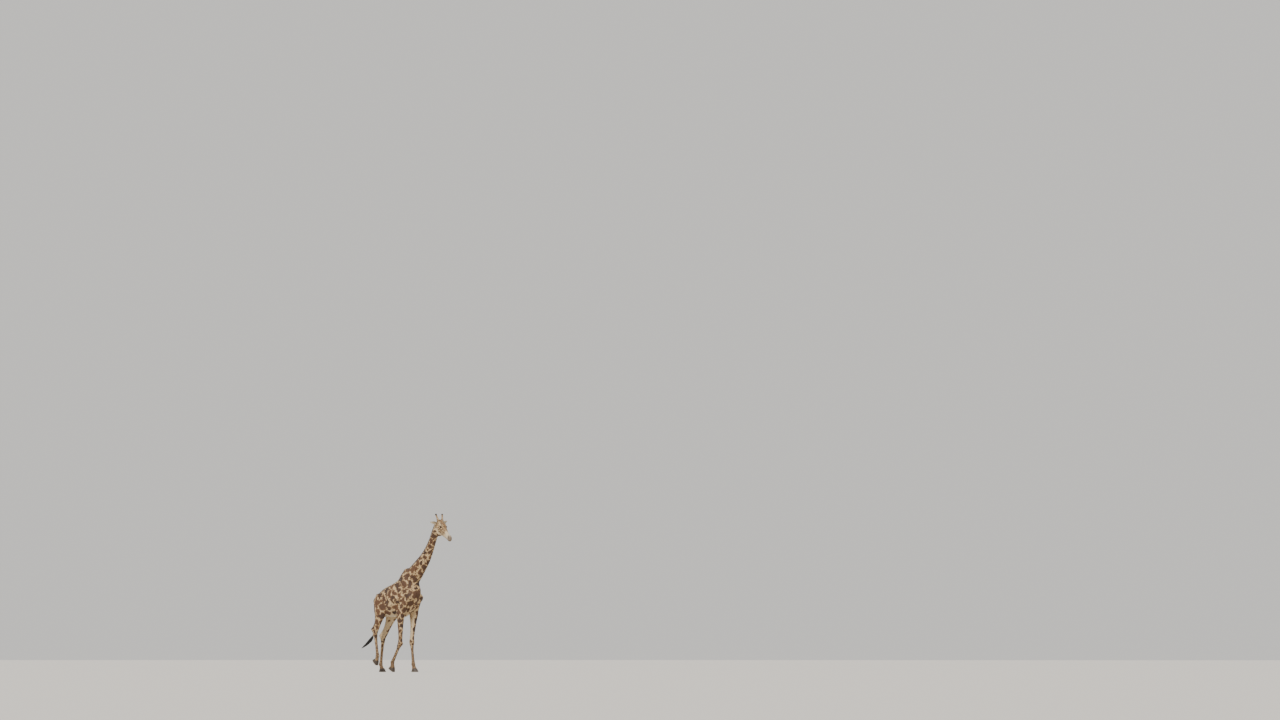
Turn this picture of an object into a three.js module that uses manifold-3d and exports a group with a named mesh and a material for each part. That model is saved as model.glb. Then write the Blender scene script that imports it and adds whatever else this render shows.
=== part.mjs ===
// A giraffe, life size, walking: a still model for a museum floor.
//
// Frame: +X is the way the animal walks, +Y its left side, +Z up, in millimetres. The origin lies on the
// floor, under the middle of the model's box.
//
// Trunk, neck and head are one rounded shape, the smooth union of tubes and muscle masses that are listed
// below by their names and sizes. Each piece of it is a run of rings round its own middle line, and where two
// pieces meet, they share the plane of a ring with a thin gap. Each leg is a tube of its own, which stands into
// the trunk and is cut back to the trunk's outside.
import * as THREE from "three";
import { mergeVertices } from "three/addons/utils/BufferGeometryUtils.js";
import Module from "manifold-3d";

const wasm = await Module();
wasm.setup();

// ---- driving sizes ---------------------------------------------------------------------------------------
const GAP = 0.4; // between two pieces that meet
const LEG_TOP = { fore: 2060, hind: 2160 }; // height where each leg starts, inside the trunk's outline
const KNEE_CUT_BELOW = 95; // the lower leg starts this far under the knee or hock
const WITHERS = { x: 440, z: 2985 };
const HEAD = { x: 1838, y: -14, z: 4307, pitch: 43, yaw: 9 }; // back of the skull; pitch down, yaw to the right
// The trunk's last rings turn about one point, from upright (90 degrees) to the neck's root (end), and move
// nearer to it. The head's first rings turn about another point, from the neck's top to the crown.
const TRUNK_FAN = { x: 430, z: 3130, start: 90, end: 42, far: 740, away: 490 };
const HEAD_FAN = { x: 1812, z: 3900, start: 124, end: 47, far: 300, away: 205 };
const TRUNK_RINGS = { straight: 15, turned: 11, around: 30, rump: -741 };
const NECK_RINGS = { half: 8, around: 20 };
const HEAD_RINGS = { turned: 6, straight: 13, around: 24, lips: 754 };
const LEG_RINGS = { upper: 13, lower: 6, around: 14, foot: [0.35, 0.7, 1] }; // foot: shares below the fetlock

// Hoof sizes are [sole, top edge]. The top edge falls towards the heel by its slope, in degrees.
const HOOF = { high: 88, slope: 16, toe: [136, 71], heel: [88, 66], width: [80, 67], cleft: 3, bevel: 5 };
const MANE = { high: 55, half: 15, root: 16 };

const rad = THREE.MathUtils.degToRad;
const mix = (a, b, s) => a + (b - a) * s;
const smoothUnion = (a, b, k) => {
  const h = Math.max(k - Math.abs(a - b), 0) / k;
  return Math.min(a, b) - (h * h * k) / 4;
};

// ---- a tube: sections strung along a straight reference axis ---------------------------------------------
// A station is [x, y, z, up, down, left, right, roundness]: a centre and four half sizes, measured square to
// the axis. Roundness 2 is an ellipse, less is a narrower ridge. Between stations every value follows a
// monotone cubic.
class Tube {
  constructor(axis, up, stations) {
    this.axis = new THREE.Vector3(...axis).normalize();
    this.up = new THREE.Vector3(...up).normalize();
    this.side = new THREE.Vector3().crossVectors(this.up, this.axis).normalize();
    this.up.crossVectors(this.axis, this.side);
    const rows = stations.map(([x, y, z, u, d, l, r, e = 2]) => {
      const c = new THREE.Vector3(x, y, z);
      return { t: c.dot(this.axis), v: [c.dot(this.up), c.dot(this.side), u, d, l, r, e] };
    });
    rows.sort((a, b) => a.t - b.t);
    this.t = rows.map((r) => r.t);
    this.v = rows.map((r) => r.v);
    this.slope = this.v.map((_, i) => this.v[0].map((_, j) => this.slopeAt(i, j)));
  }

  slopeAt(i, j) {
    if (i === 0 || i === this.t.length - 1) return 0;
    const before = (this.v[i][j] - this.v[i - 1][j]) / (this.t[i] - this.t[i - 1]);
    const after = (this.v[i + 1][j] - this.v[i][j]) / (this.t[i + 1] - this.t[i]);
    return before * after <= 0 ? 0 : (2 * before * after) / (before + after);
  }

  section(t) {
    const at = THREE.MathUtils.clamp(t, this.t[0], this.t.at(-1));
    let i = 0;
    while (i < this.t.length - 2 && at > this.t[i + 1]) i++;
    const step = this.t[i + 1] - this.t[i];
    const s = (at - this.t[i]) / step;
    const [h0, h1] = [(1 + 2 * s) * (1 - s) ** 2, s * s * (3 - 2 * s)];
    const [g0, g1] = [s * (1 - s) ** 2 * step, s * s * (s - 1) * step];
    return this.v[i].map(
      (a, j) => h0 * a + h1 * this.v[i + 1][j] + g0 * this.slope[i][j] + g1 * this.slope[i + 1][j],
    );
  }

  // Signed distance, near enough: under 0 inside.
  distance(p) {
    const t = p.dot(this.axis);
    const [cu, cs, up, down, left, right, e] = this.section(t);
    const a = p.dot(this.up) - cu;
    const b = p.dot(this.side) - cs;
    const far = (Math.abs(a / (a > 0 ? up : down)) ** e + Math.abs(b / (b > 0 ? left : right)) ** e) ** (1 / e);
    const flat = far < 1e-4 ? -Math.min(up, down, left, right) : Math.hypot(a, b) * (1 - 1 / far);
    const past = Math.max(this.t[0] - t, t - this.t.at(-1));
    return past > 0 ? Math.hypot(Math.max(flat, 0), past) : Math.max(flat, past);
  }
}

// A round cone from a to b, for muscles and bony points.
class Mass {
  constructor(a, ra, b, rb) {
    this.a = new THREE.Vector3(...a);
    this.d = new THREE.Vector3(...b).sub(this.a);
    this.r = [ra, rb];
  }

  distance(p) {
    const q = p.clone().sub(this.a);
    const s = THREE.MathUtils.clamp(q.dot(this.d) / this.d.lengthSq(), 0, 1);
    return q.addScaledVector(this.d, -s).length() - mix(this.r[0], this.r[1], s);
  }
}

// ---- trunk and neck --------------------------------------------------------------------------------------
const X = [1, 0, 0];
const Z = [0, 0, 1];
const DOWN = [0, 0, -1];
const trunk = new Tube(X, Z, [
  // x, y, z, up, down, left, right, roundness
  [-744, 0, 2060, 40, 60, 40, 40], // tail root
  [-718, 0, 2050, 100, 170, 84, 84],
  [-672, 0, 2030, 172, 290, 124, 124],
  [-590, 0, 2010, 268, 380, 172, 172],
  [-470, 0, 2005, 372, 420, 212, 212, 1.9], // croup
  [-300, 0, 2020, 440, 425, 254, 254, 1.9],
  [-110, 0, 2035, 486, 450, 296, 296, 1.95], // loin
  [100, 0, 2050, 564, 468, 316, 316, 1.85],
  [250, 0, 2075, 652, 486, 308, 308, 1.65],
  [360, 0, 2100, 790, 510, 286, 286, 1.5],
  [WITHERS.x, 0, 2130, WITHERS.z - 2130, 548, 272, 272, 1.5],
  [560, 0, 2180, 780, 548, 262, 262, 1.6],
  [700, 0, 2230, 610, 462, 240, 240, 1.8],
  [820, 0, 2265, 425, 355, 198, 198, 2], // breast
  [905, 0, 2280, 300, 235, 150, 150],
  [965, 0, 2285, 190, 125, 98, 98],
  [995, 0, 2285, 105, 50, 48, 48],
]);
const NECK_AXIS = [Math.cos(rad(54)), 0, Math.sin(rad(54))];
const neck = new Tube(NECK_AXIS, [-1, 0, 1], [
  // x, y, z, towards the nape, towards the throat, left, right
  [540, 0, 2580, 310, 318, 192, 192],
  [715, 0, 2755, 262, 300, 174, 174],
  [862, 0, 2905, 220, 282, 156, 156],
  [1000, 0, 3045, 186, 254, 140, 140],
  [1135, 0, 3185, 158, 230, 125, 125],
  [1254, -1, 3325, 134, 207, 112, 112],
  [1352, -3, 3465, 116, 185, 102, 102],
  [1440, -5, 3610, 102, 164, 94, 94],
  [1518, -7, 3755, 92, 146, 88, 88],
  [1590, -9, 3900, 88, 134, 84, 84],
  [1660, -11, 4040, 90, 126, 83, 83],
  [1736, -13, 4170, 94, 116, 81, 81],
  [1800, -14, 4270, 80, 92, 64, 64],
]);

// ---- head: its own frame, u along the face, v to its left, w out of the forehead -------------------------
const headFrame = new THREE.Matrix4().makeBasis(
  ...[
    [1, 0, 0],
    [0, 1, 0],
    [0, 0, 1],
  ].map((v) =>
    new THREE.Vector3(...v).applyEuler(new THREE.Euler(0, rad(HEAD.pitch), -rad(HEAD.yaw), "ZYX")),
  ),
);
headFrame.setPosition(HEAD.x, HEAD.y, HEAD.z);
const onHead = (u, v, w) => new THREE.Vector3(u, v, w).applyMatrix4(headFrame);
const headAxis = onHead(1, 0, 0).sub(onHead(0, 0, 0)).toArray();
const headUp = onHead(0, 0, 1).sub(onHead(0, 0, 0)).toArray();
const headStation = ([u, w, up, down, half, e]) => [...onHead(u, 0, w).toArray(), up, down, half, half, e];
const skull = new Tube(
  headAxis,
  headUp,
  [
    // u, w, up, down, half width, roundness
    [-78, 0, 30, 40, 30, 2],
    [-54, 0, 62, 88, 60, 2],
    [0, 0, 84, 140, 80, 2],
    [80, 0, 96, 200, 92, 2.2], // crown
    [160, 0, 96, 228, 97, 2.3],
    [232, 0, 90, 228, 95, 2.3], // eyes
    [310, 0, 75, 212, 81, 2.3],
    [400, 0, 60, 184, 66, 2.3],
    [500, 0, 50, 152, 57, 2.2],
    [590, 0, 47, 126, 56, 2.2],
    [655, 0, 45, 106, 60, 2.3], // nostrils
    [705, -8, 36, 88, 57, 2.4],
    [738, -22, 24, 60, 45, 2.3],
    [756, -34, 10, 28, 22, 2],
  ].map(headStation),
);
const sides = [
  ["left", 1],
  ["right", -1],
];
const EYE = { u: 218, v: 87, w: 27, radius: 27 };
const OSSICONE = { u: -6, v: 70, w: 44, lean: [-0.265, 0.25, 1], length: 214 };
const headMasses = sides.flatMap(([, s]) => [
  new Mass(onHead(168, s * 78, 58).toArray(), 30, onHead(258, s * 74, 46).toArray(), 27), // brow
  new Mass(onHead(140, s * 58, -80).toArray(), 64, onHead(225, s * 52, -130).toArray(), 50), // cheek
  new Mass(onHead(12, s * 60, -44).toArray(), 44, onHead(14, s * 78, -48).toArray(), 34), // ear root
  new Mass(onHead(OSSICONE.u, s * OSSICONE.v, 40).toArray(), 46, onHead(-30, s * 68, 78).toArray(), 34),
]);
const crownMass = new Mass(onHead(180, 0, 68).toArray(), 44, onHead(250, 0, 56).toArray(), 34); // middle knob
const throat = new Mass([1735, -10, 3990], 86, [1850, -14, 3978], 76);

// ---- legs ------------------------------------------------------------------------------------------------
// Each leg is a chain of joints [x, y, z]: its top, elbow or stifle, knee or hock, fetlock and coronet. A
// section sits at a share of the way down one of the bones between them:
// [bone, share, front, back, outer, inner].
const FORE_SECTIONS = [
  [0, 0.0, 170, 190, 70, 60],
  [0, 0.5, 160, 190, 84, 72],
  [0, 1.0, 138, 172, 88, 76], // elbow
  [1, 0.14, 116, 146, 86, 70],
  [1, 0.32, 96, 108, 77, 64],
  [1, 0.58, 80, 76, 66, 60],
  [1, 0.82, 68, 64, 58, 56],
  [1, 0.94, 78, 68, 66, 64],
  [2, 0.0, 84, 72, 72, 70], // knee
  [2, 0.09, 76, 70, 68, 66],
  [2, 0.18, 54, 56, 54, 52],
  [2, 0.4, 42, 48, 39, 38],
  [2, 0.7, 41, 48, 38, 37],
  [2, 0.88, 48, 56, 46, 44],
  [3, 0.0, 57, 64, 55, 53], // fetlock
  [3, 0.45, 54, 57, 54, 52],
  [3, 1.0, 70, 66, 68, 66], // coronet
  [3, 1.7, 74, 70, 70, 68],
];
const HIND_SECTIONS = [
  [0, 0.0, 150, 150, 92, 80],
  [0, 0.45, 240, 270, 108, 92],
  [0, 1.0, 246, 262, 108, 88], // stifle
  [1, 0.2, 222, 180, 98, 80],
  [1, 0.4, 168, 126, 86, 72],
  [1, 0.62, 120, 98, 70, 62],
  [1, 0.84, 96, 76, 58, 54],
  [2, 0.0, 80, 66, 62, 58], // hock
  [2, 0.1, 64, 58, 56, 53],
  [2, 0.22, 50, 54, 45, 44],
  [2, 0.5, 43, 50, 38, 37],
  [2, 0.75, 42, 49, 38, 37],
  [2, 0.9, 48, 56, 46, 44],
  [3, 0.0, 55, 62, 53, 51], // fetlock
  [3, 0.45, 52, 54, 51, 49],
  [3, 1.0, 64, 62, 62, 60], // coronet
  [3, 1.7, 68, 66, 64, 62],
];
const LEGS = {
  fore_left: {
    side: 1,
    sections: FORE_SECTIONS,
    joints: [
      [650, 150, 2060],
      [608, 184, 1650],
      [518, 172, 880],
      [606, 158, 218],
      [650, 154, 88],
    ],
    pitch: 0,
  },
  fore_right: {
    side: -1,
    sections: FORE_SECTIONS,
    joints: [
      [540, -150, 2060],
      [440, -188, 1650],
      [410, -186, 815],
      [122, -206, 290],
      [116, -210, 141],
    ],
    pitch: 34,
  },
  hind_left: {
    side: 1,
    sections: HIND_SECTIONS,
    joints: [
      [-430, 150, 2260],
      [-245, 176, 1760],
      [-655, 178, 962],
      [-742, 172, 214],
      [-694, 170, 88],
    ],
    pitch: 0,
    tuber: [-772, 180, 1050],
  },
  hind_right: {
    side: -1,
    sections: HIND_SECTIONS,
    joints: [
      [-430, -150, 2260],
      [-385, -180, 1790],
      [-612, -186, 1120],
      [-512, -186, 462],
      [-555, -188, 345],
    ],
    pitch: 50,
    tuber: [-735, -190, 1236],
  },
};

function legTube(leg) {
  const stations = leg.sections.map(([bone, share, front, back, outer, inner]) => {
    const [a, b] = [leg.joints[bone], leg.joints[bone + 1]];
    const centre = a.map((v, i) => mix(v, b[i], share));
    const lean = Math.hypot(b[0] - a[0], b[2] - a[2]) / Math.abs(b[2] - a[2]);
    const widen = bone === 0 ? 1 : lean; // a leaning bone is cut level, so its section is longer
    const halves = leg.side > 0 ? [outer, inner] : [inner, outer];
    return [...centre, front * widen, back * widen, ...halves, 2.1];
  });
  return new Tube(DOWN, X, stations);
}

const legTubes = Object.fromEntries(Object.entries(LEGS).map(([name, leg]) => [name, legTube(leg)]));
// The point of the hock, with the tendon that runs up from it.
const hockShapes = ({ tuber, joints }) => [
  new Mass(tuber, 29, mixPoint(joints[2], joints[3], 0.12), 44),
  new Mass(tuber, 24, mixPoint(joints[1], joints[2], 0.45), 60),
];
const shoulders = [
  new Mass([450, 80, 2700], 46, [846, 160, 2140], 94),
  new Mass([846, 160, 2140], 92, [690, 180, 1880], 92),
  new Mass([430, -80, 2700], 46, [800, -160, 2150], 92),
  new Mass([800, -160, 2150], 90, [590, -178, 1880], 92),
];
// From the point of the hip to the seat.
const haunches = sides.map(([, s]) => new Mass([-270, s * 190, 2255], 54, [-600, s * 90, 2070], 60));

function mixPoint(a, b, s) {
  return a.map((v, i) => mix(v, b[i], s));
}

// ---- the whole body --------------------------------------------------------------------------------------
const TORSO = [
  { blend: 0, shapes: [trunk] },
  { blend: 110, shapes: [neck] },
  { blend: 70, shapes: [...shoulders, ...haunches] },
];
const HEAD_AND_NECK = [
  ...TORSO,
  { blend: 70, shapes: [skull, throat] },
  { blend: 26, shapes: [...headMasses, crownMass] },
];

function distanceTo(groups, p) {
  let found = 1e4;
  for (const { blend, shapes } of groups)
    for (const shape of shapes)
      found = blend ? smoothUnion(found, shape.distance(p), blend) : Math.min(found, shape.distance(p));
  return found;
}

// ---- rings cut from the body -----------------------------------------------------------------------------
// A ring is { centre, up, side }: rays leave its centre in its own plane and stop at the body's surface, or
// at one of the piece's cutting planes.
function reach(centre, ray, field) {
  const at = (r) => field(centre.clone().addScaledVector(ray, r));
  const step = 12;
  let inside = 0;
  while (at(inside + step) < 0) inside += step;
  let outside = inside + step;
  for (let i = 0; i < 18; i++) {
    const middle = (inside + outside) / 2;
    if (at(middle) < 0) inside = middle;
    else outside = middle;
  }
  return inside;
}

function shell(rings, count, field) {
  const points = [];
  for (const { centre, up, side } of rings)
    for (let i = 0; i < count; i++) {
      const turn = (2 * Math.PI * i) / count;
      const ray = up.clone().multiplyScalar(Math.cos(turn)).addScaledVector(side, Math.sin(turn));
      points.push(centre.clone().addScaledVector(ray, reach(centre, ray, field)));
    }
  return closedRings(points, rings.length, count);
}

// Rings of points, one after the other, with a flat fan over each end.
function closedRings(points, rings, count) {
  const faces = [];
  for (let r = 0; r < rings - 1; r++)
    for (let i = 0; i < count; i++) {
      const [a, b] = [r * count + i, r * count + ((i + 1) % count)];
      faces.push([a, b, b + count], [a, b + count, a + count]);
    }
  for (const [ring, turn] of [
    [0, -1],
    [rings - 1, 1],
  ]) {
    const middle = new THREE.Vector3();
    for (let i = 0; i < count; i++) middle.addScaledVector(points[ring * count + i], 1 / count);
    points.push(middle);
    for (let i = 0; i < count; i++) {
      const [a, b] = [ring * count + i, ring * count + ((i + 1) % count)];
      faces.push(turn > 0 ? [points.length - 1, a, b] : [points.length - 1, b, a]);
    }
  }
  const geometry = new THREE.BufferGeometry().setFromPoints(points);
  geometry.setIndex(faces.flat());
  return outward(geometry);
}

// Turns a closed surface so that its faces point out.
function outward(geometry) {
  const [p, index] = [geometry.getAttribute("position"), geometry.getIndex()];
  const corner = (i) => new THREE.Vector3().fromBufferAttribute(p, index.getX(i));
  let volume = 0;
  for (let i = 0; i < index.count; i += 3) volume += corner(i).dot(corner(i + 1).cross(corner(i + 2)));
  if (volume < 0)
    for (let i = 0; i < index.count; i += 3) {
      const first = index.getX(i);
      index.setX(i, index.getX(i + 1));
      index.setX(i + 1, first);
    }
  return geometry;
}

const flatRing = (centre, angle) => ({
  centre: new THREE.Vector3(...centre),
  up: new THREE.Vector3(Math.cos(rad(angle)), 0, Math.sin(rad(angle))),
  side: new THREE.Vector3(0, 1, 0),
});

// Moves a ring along its piece, so that there is a gap between the piece and the one before it.
const pushForward = ({ centre, up, side }, by = GAP) =>
  centre.addScaledVector(new THREE.Vector3().crossVectors(side, up), by);

// The shell of a piece, or of the same piece grown all round, for cutting its neighbours.
function pieceShell(rings, count, groups, grow) {
  pushForward(rings[0], -grow);
  pushForward(rings.at(-1), grow);
  return shell(rings, count, (p) => distanceTo(groups, p) - grow);
}

// ---- manifold-3d: joining and cutting --------------------------------------------------------------------
function solidOf(geometry) {
  const bare = geometry.clone();
  for (const name of ["normal", "uv"]) bare.deleteAttribute(name);
  const merged = mergeVertices(bare, 1e-3);
  return new wasm.Manifold(
    new wasm.Mesh({
      numProp: 3,
      vertProperties: merged.getAttribute("position").array,
      triVerts: new Uint32Array(merged.getIndex().array),
    }),
  );
}

function geometryOf(solid) {
  const mesh = solid.getMesh();
  const points = new Float32Array(mesh.numVert * 3);
  for (let i = 0; i < mesh.numVert; i++)
    points.set(mesh.vertProperties.subarray(i * mesh.numProp, i * mesh.numProp + 3), i * 3);
  return new THREE.BufferGeometry()
    .setAttribute("position", new THREE.BufferAttribute(points, 3))
    .setIndex(new THREE.BufferAttribute(mesh.triVerts, 1));
}

// Cuts the tools away and keeps the largest body that is left: a cut through a faceted corner can leave chips.
function cut(geometry, ...tools) {
  const rest = tools.reduce((solid, tool) => solid.subtract(solidOf(tool)), solidOf(geometry));
  const bodies = rest.decompose().sort((a, b) => b.volume() - a.volume());
  return geometryOf(bodies[0]);
}

// ---- trunk -----------------------------------------------------------------------------------------------
const fanRing = (fan, angle, away) =>
  flatRing([fan.x + away * Math.cos(rad(angle)), 0, fan.z + away * Math.sin(rad(angle))], angle);

// Shares that lie closer together near the end, where a shape turns fastest.
const crowded = (share) => mix(Math.sin((share * Math.PI) / 2), share, 0.65);

function upturned(ring) {
  ring.up.negate();
  return ring;
}

function trunkGeometry(grow = 0) {
  const { straight, turned, around, rump } = TRUNK_RINGS;
  const rings = [];
  for (let i = 0; i <= straight; i++) {
    const share = i / straight;
    const x = mix(rump, TRUNK_FAN.x - 40, crowded(share));
    rings.push(flatRing([x, 0, mix(2060, 2380, share ** 3)], 90));
  }
  for (let i = 0; i <= turned; i++) {
    const share = i / turned;
    const angle = mix(TRUNK_FAN.start, TRUNK_FAN.end, share);
    rings.push(upturned(fanRing(TRUNK_FAN, -angle, mix(TRUNK_FAN.far, TRUNK_FAN.away, share))));
  }
  return pieceShell(rings, around, TORSO, grow);
}

// ---- neck ------------------------------------------------------------------------------------------------
const NECK_LINE = new THREE.CatmullRomCurve3([
  fanRing(TRUNK_FAN, -TRUNK_FAN.end, TRUNK_FAN.away).centre,
  ...[
    [900, 2915],
    [1040, 3070],
    [1165, 3225],
    [1270, 3370],
    [1358, 3508],
    [1436, 3645],
    [1508, 3775],
    [1572, 3890],
    [1632, 3985],
  ].map(([x, z]) => new THREE.Vector3(x, 0, z)),
  fanRing(HEAD_FAN, HEAD_FAN.start, HEAD_FAN.away).centre,
]);
const NECK_SPLIT = 0.5; // share of the way up where the neck is parted in two

function neckRing(share) {
  const centre = NECK_LINE.getPointAt(share);
  const along = NECK_LINE.getTangentAt(share);
  const tangent = THREE.MathUtils.radToDeg(Math.atan2(along.z, along.x));
  const low = Math.max(0, 1 - share / 0.25);
  const high = Math.max(0, (share - 0.72) / 0.28);
  const normal = mix(mix(tangent, 90 - TRUNK_FAN.end, low), HEAD_FAN.start - 90, high);
  return flatRing([centre.x, 0, centre.z], normal + 90);
}

function neckGeometry(from, to, grow) {
  const { half, around } = NECK_RINGS;
  const rings = [];
  for (let i = 0; i <= half; i++) rings.push(neckRing(mix(from, to, i / half)));
  pushForward(rings[0]);
  return pieceShell(rings, around, HEAD_AND_NECK, grow);
}

// ---- head ------------------------------------------------------------------------------------------------
function headRings() {
  const { turned, straight, lips } = HEAD_RINGS;
  const rings = [];
  for (let i = 0; i <= turned; i++) {
    const share = i / turned;
    const angle = mix(HEAD_FAN.start, HEAD_FAN.end, share);
    const ring = fanRing(HEAD_FAN, angle, mix(HEAD_FAN.away, HEAD_FAN.far, share));
    ring.centre.y = HEAD.y;
    rings.push(ring);
  }
  pushForward(rings[0]);
  const along = new THREE.Vector3(...headAxis);
  const start = rings.at(-1).centre.clone().sub(onHead(0, 0, 0)).dot(along);
  const up = new THREE.Vector3(...headUp);
  const side = new THREE.Vector3().crossVectors(up, along);
  for (let i = 1; i <= straight; i++) {
    const share = i / straight;
    const u = mix(start, lips, crowded(share));
    rings.push({ centre: onHead(u, 0, mix(-36, -32, share)), up, side });
  }
  return rings;
}

// ---- legs ------------------------------------------------------------------------------------------------
// Level rings down to the fetlock, then rings that turn with the foot, down to the hoof's top edge.
function legRings(name, top, bottom, count) {
  const [leg, tube] = [LEGS[name], legTubes[name]];
  const fetlock = leg.joints[3];
  const level = Array.from({ length: count + 1 }, (_, i) => {
    const z = mix(top, Math.max(bottom, fetlock[2]), i / count);
    const [x, y] = tube.section(-z);
    return flatRing([x, y, z], 0);
  });
  if (bottom > fetlock[2]) return level;
  const turned = LEG_RINGS.foot.map((share) =>
    flatRing(mixPoint(fetlock, leg.joints[4], share), (HOOF.slope - leg.pitch) * share),
  );
  return [...level, ...turned];
}

function legGeometry(name, top, bottom, count) {
  const shapes = [{ blend: 0, shapes: [legTubes[name]] }];
  if (LEGS[name].tuber) shapes.push({ blend: 34, shapes: hockShapes(LEGS[name]) });
  return pieceShell(legRings(name, top, bottom, count), LEG_RINGS.around, shapes, 0);
}

// ---- hooves: two claws on each foot ----------------------------------------------------------------------
// Each level of a claw is half of a rounded sole: from the toe round the outer wall to the heel, then forward
// again along the cleft.
function clawGeometry(side) {
  const levels = [0, 0.12, 0.55, 1];
  const wall = 8;
  const cleftShares = [-0.92, -0.3, 0.3, 0.92];
  const points = [];
  for (const level of levels) {
    const [toe, heel, width] = [HOOF.toe, HOOF.heel, HOOF.width].map(([sole, top]) => mix(sole, top, level));
    const inset = level === 0 ? HOOF.bevel : 0;
    const height = (x) => (level - 1) * HOOF.high + level * x * Math.tan(rad(HOOF.slope));
    for (let i = 0; i <= wall; i++) {
      const [ahead, out] = [Math.cos((Math.PI * i) / wall), Math.sin((Math.PI * i) / wall)];
      const x = Math.sign(ahead) * Math.abs(ahead) ** 0.9 * ((ahead > 0 ? toe : heel) - inset);
      const y = HOOF.cleft / 2 + (width - inset) * (0.22 + 0.78 * out ** 0.8);
      points.push(new THREE.Vector3(x, side * y, height(x)));
    }
    for (const share of cleftShares) {
      const x = (share > 0 ? toe : heel) * share;
      points.push(new THREE.Vector3(x, (side * HOOF.cleft) / 2, height(x)));
    }
  }
  return closedRings(points, levels.length, wall + 1 + cleftShares.length);
}

// ---- ears, ossicones, eyes -------------------------------------------------------------------------------
const EARS = {
  left: { root: onHead(14, 82, -46), way: [0.25, 0.88, 0.36], length: 214, open: [0.8, -0.35, -0.25] },
  right: { root: onHead(14, -82, -50), way: [-0.58, -0.79, 0.26], length: 208, open: [0.75, -0.6, 0.1] },
};

// A leaf rolled round its own axis: a crescent section, widest before the middle, down to a point.
function earGeometry({ root, way, length, open }) {
  const along = new THREE.Vector3(...way).normalize();
  const face = new THREE.Vector3(...open);
  face.addScaledVector(along, -along.dot(face)).normalize();
  const across = new THREE.Vector3().crossVectors(along, face);
  const [steps, half] = [9, 6];
  const points = [];
  for (let i = 0; i <= steps; i++) {
    const t = i / steps;
    const width = 10 + 37 * Math.sin(Math.PI * Math.min(1, 0.14 + 0.86 * t) ** 0.8) - 6 * t;
    const cup = mix(26, 5, t ** 0.7);
    const thick = mix(11, 4, t);
    const centre = root.clone().addScaledVector(along, t * length).addScaledVector(face, -14 * t * t);
    for (const [front, order] of [
      [1, 1],
      [-1, -1],
    ])
      for (let j = 0; j <= half; j++) {
        const q = order * mix(-1, 1, j / half);
        if (order < 0 && (j === 0 || j === half)) continue;
        const bow = cup * (q * q - 0.5) + (front * thick * (1 - q * q)) / 2;
        points.push(centre.clone().addScaledVector(across, q * width).addScaledVector(face, bow));
      }
  }
  return closedRings(points, steps + 1, 2 * half);
}

function ossiconeGeometry(side) {
  const root = onHead(OSSICONE.u, side * OSSICONE.v, OSSICONE.w);
  const [forward, out, up] = OSSICONE.lean;
  const along = new THREE.Vector3(forward, side * out, up).normalize();
  const across = new THREE.Vector3(1, 0, 0).cross(along).normalize();
  const other = new THREE.Vector3().crossVectors(along, across);
  const outline = [
    [0, 40],
    [0.22, 36],
    [0.36, 29],
    [0.55, 25],
    [0.75, 24],
    [0.86, 27],
    [0.95, 24],
    [1, 12],
  ];
  const points = [];
  for (const [share, radius] of outline)
    for (let i = 0; i < 12; i++) {
      const turn = (Math.PI * i) / 6;
      const spoke = across.clone().multiplyScalar(Math.cos(turn)).addScaledVector(other, Math.sin(turn));
      points.push(root.clone().addScaledVector(along, share * OSSICONE.length).addScaledVector(spoke, radius));
    }
  return closedRings(points, outline.length, 12);
}

const eyeCentre = (side) => onHead(EYE.u, side * EYE.v, EYE.w);
function eyeGeometry(side, radius = EYE.radius) {
  const eye = new THREE.SphereGeometry(radius, 12, 8);
  eye.rotateX(Math.PI / 2);
  return eye.translate(...eyeCentre(side).toArray());
}

// ---- mane and tail ---------------------------------------------------------------------------------------
// A ridge of hair along the nape, from the crown to the withers, rooted a little under the skin's line.
function maneGeometry() {
  const skin = (p) => distanceTo(HEAD_AND_NECK, p);
  const stations = [
    ...[66, 57, 48].map((angle) => upturned(fanRing(TRUNK_FAN, -angle, 700))),
    ...[0, 0.14, 0.28, 0.42, 0.56, 0.7, 0.84, 0.97].map(neckRing),
    ...[118, 108].map((angle) => fanRing(HEAD_FAN, angle, 250)),
  ];
  const points = [];
  stations.forEach(({ centre, up }, i) => {
    const nape = centre.clone().addScaledVector(up, reach(centre, up, skin));
    const share = i / (stations.length - 1);
    nape.y = mix(0, HEAD.y, Math.max(0, share - 0.5) * 2);
    const high = MANE.high * Math.min(1, 0.15 + 6 * share, 0.45 + 4 * (1 - share));
    for (const [out, over] of [
      [1, -MANE.root],
      [0.85, 0.3 * high],
      [0.3, high],
      [-0.3, high],
      [-0.85, 0.3 * high],
      [-1, -MANE.root],
    ])
      points.push(nape.clone().addScaledVector(up, over).add(new THREE.Vector3(0, out * MANE.half, 0)));
  });
  return closedRings(points, stations.length, 6);
}

// One line from the rump to the tip of the hair: where it passes, and how thick the tail is there.
const TAIL = [
  [-706, 0, 2092, 46],
  [-750, -2, 2040, 38],
  [-768, -8, 1930, 29],
  [-768, -20, 1600, 21],
  [-792, -28, 1300, 18],
  [-846, -34, 1080, 17],
  [-884, -42, 1005, 40],
  [-941, -60, 917, 54],
  [-1052, -92, 810, 43],
  [-1148, -125, 735, 25],
  [-1219, -149, 682, 6],
];
const TAIL_LINE = new THREE.CatmullRomCurve3(TAIL.map(([x, y, z]) => new THREE.Vector3(x, y, z)));
const TUFT_START = 0.5; // share of the stations where the hair begins

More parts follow.
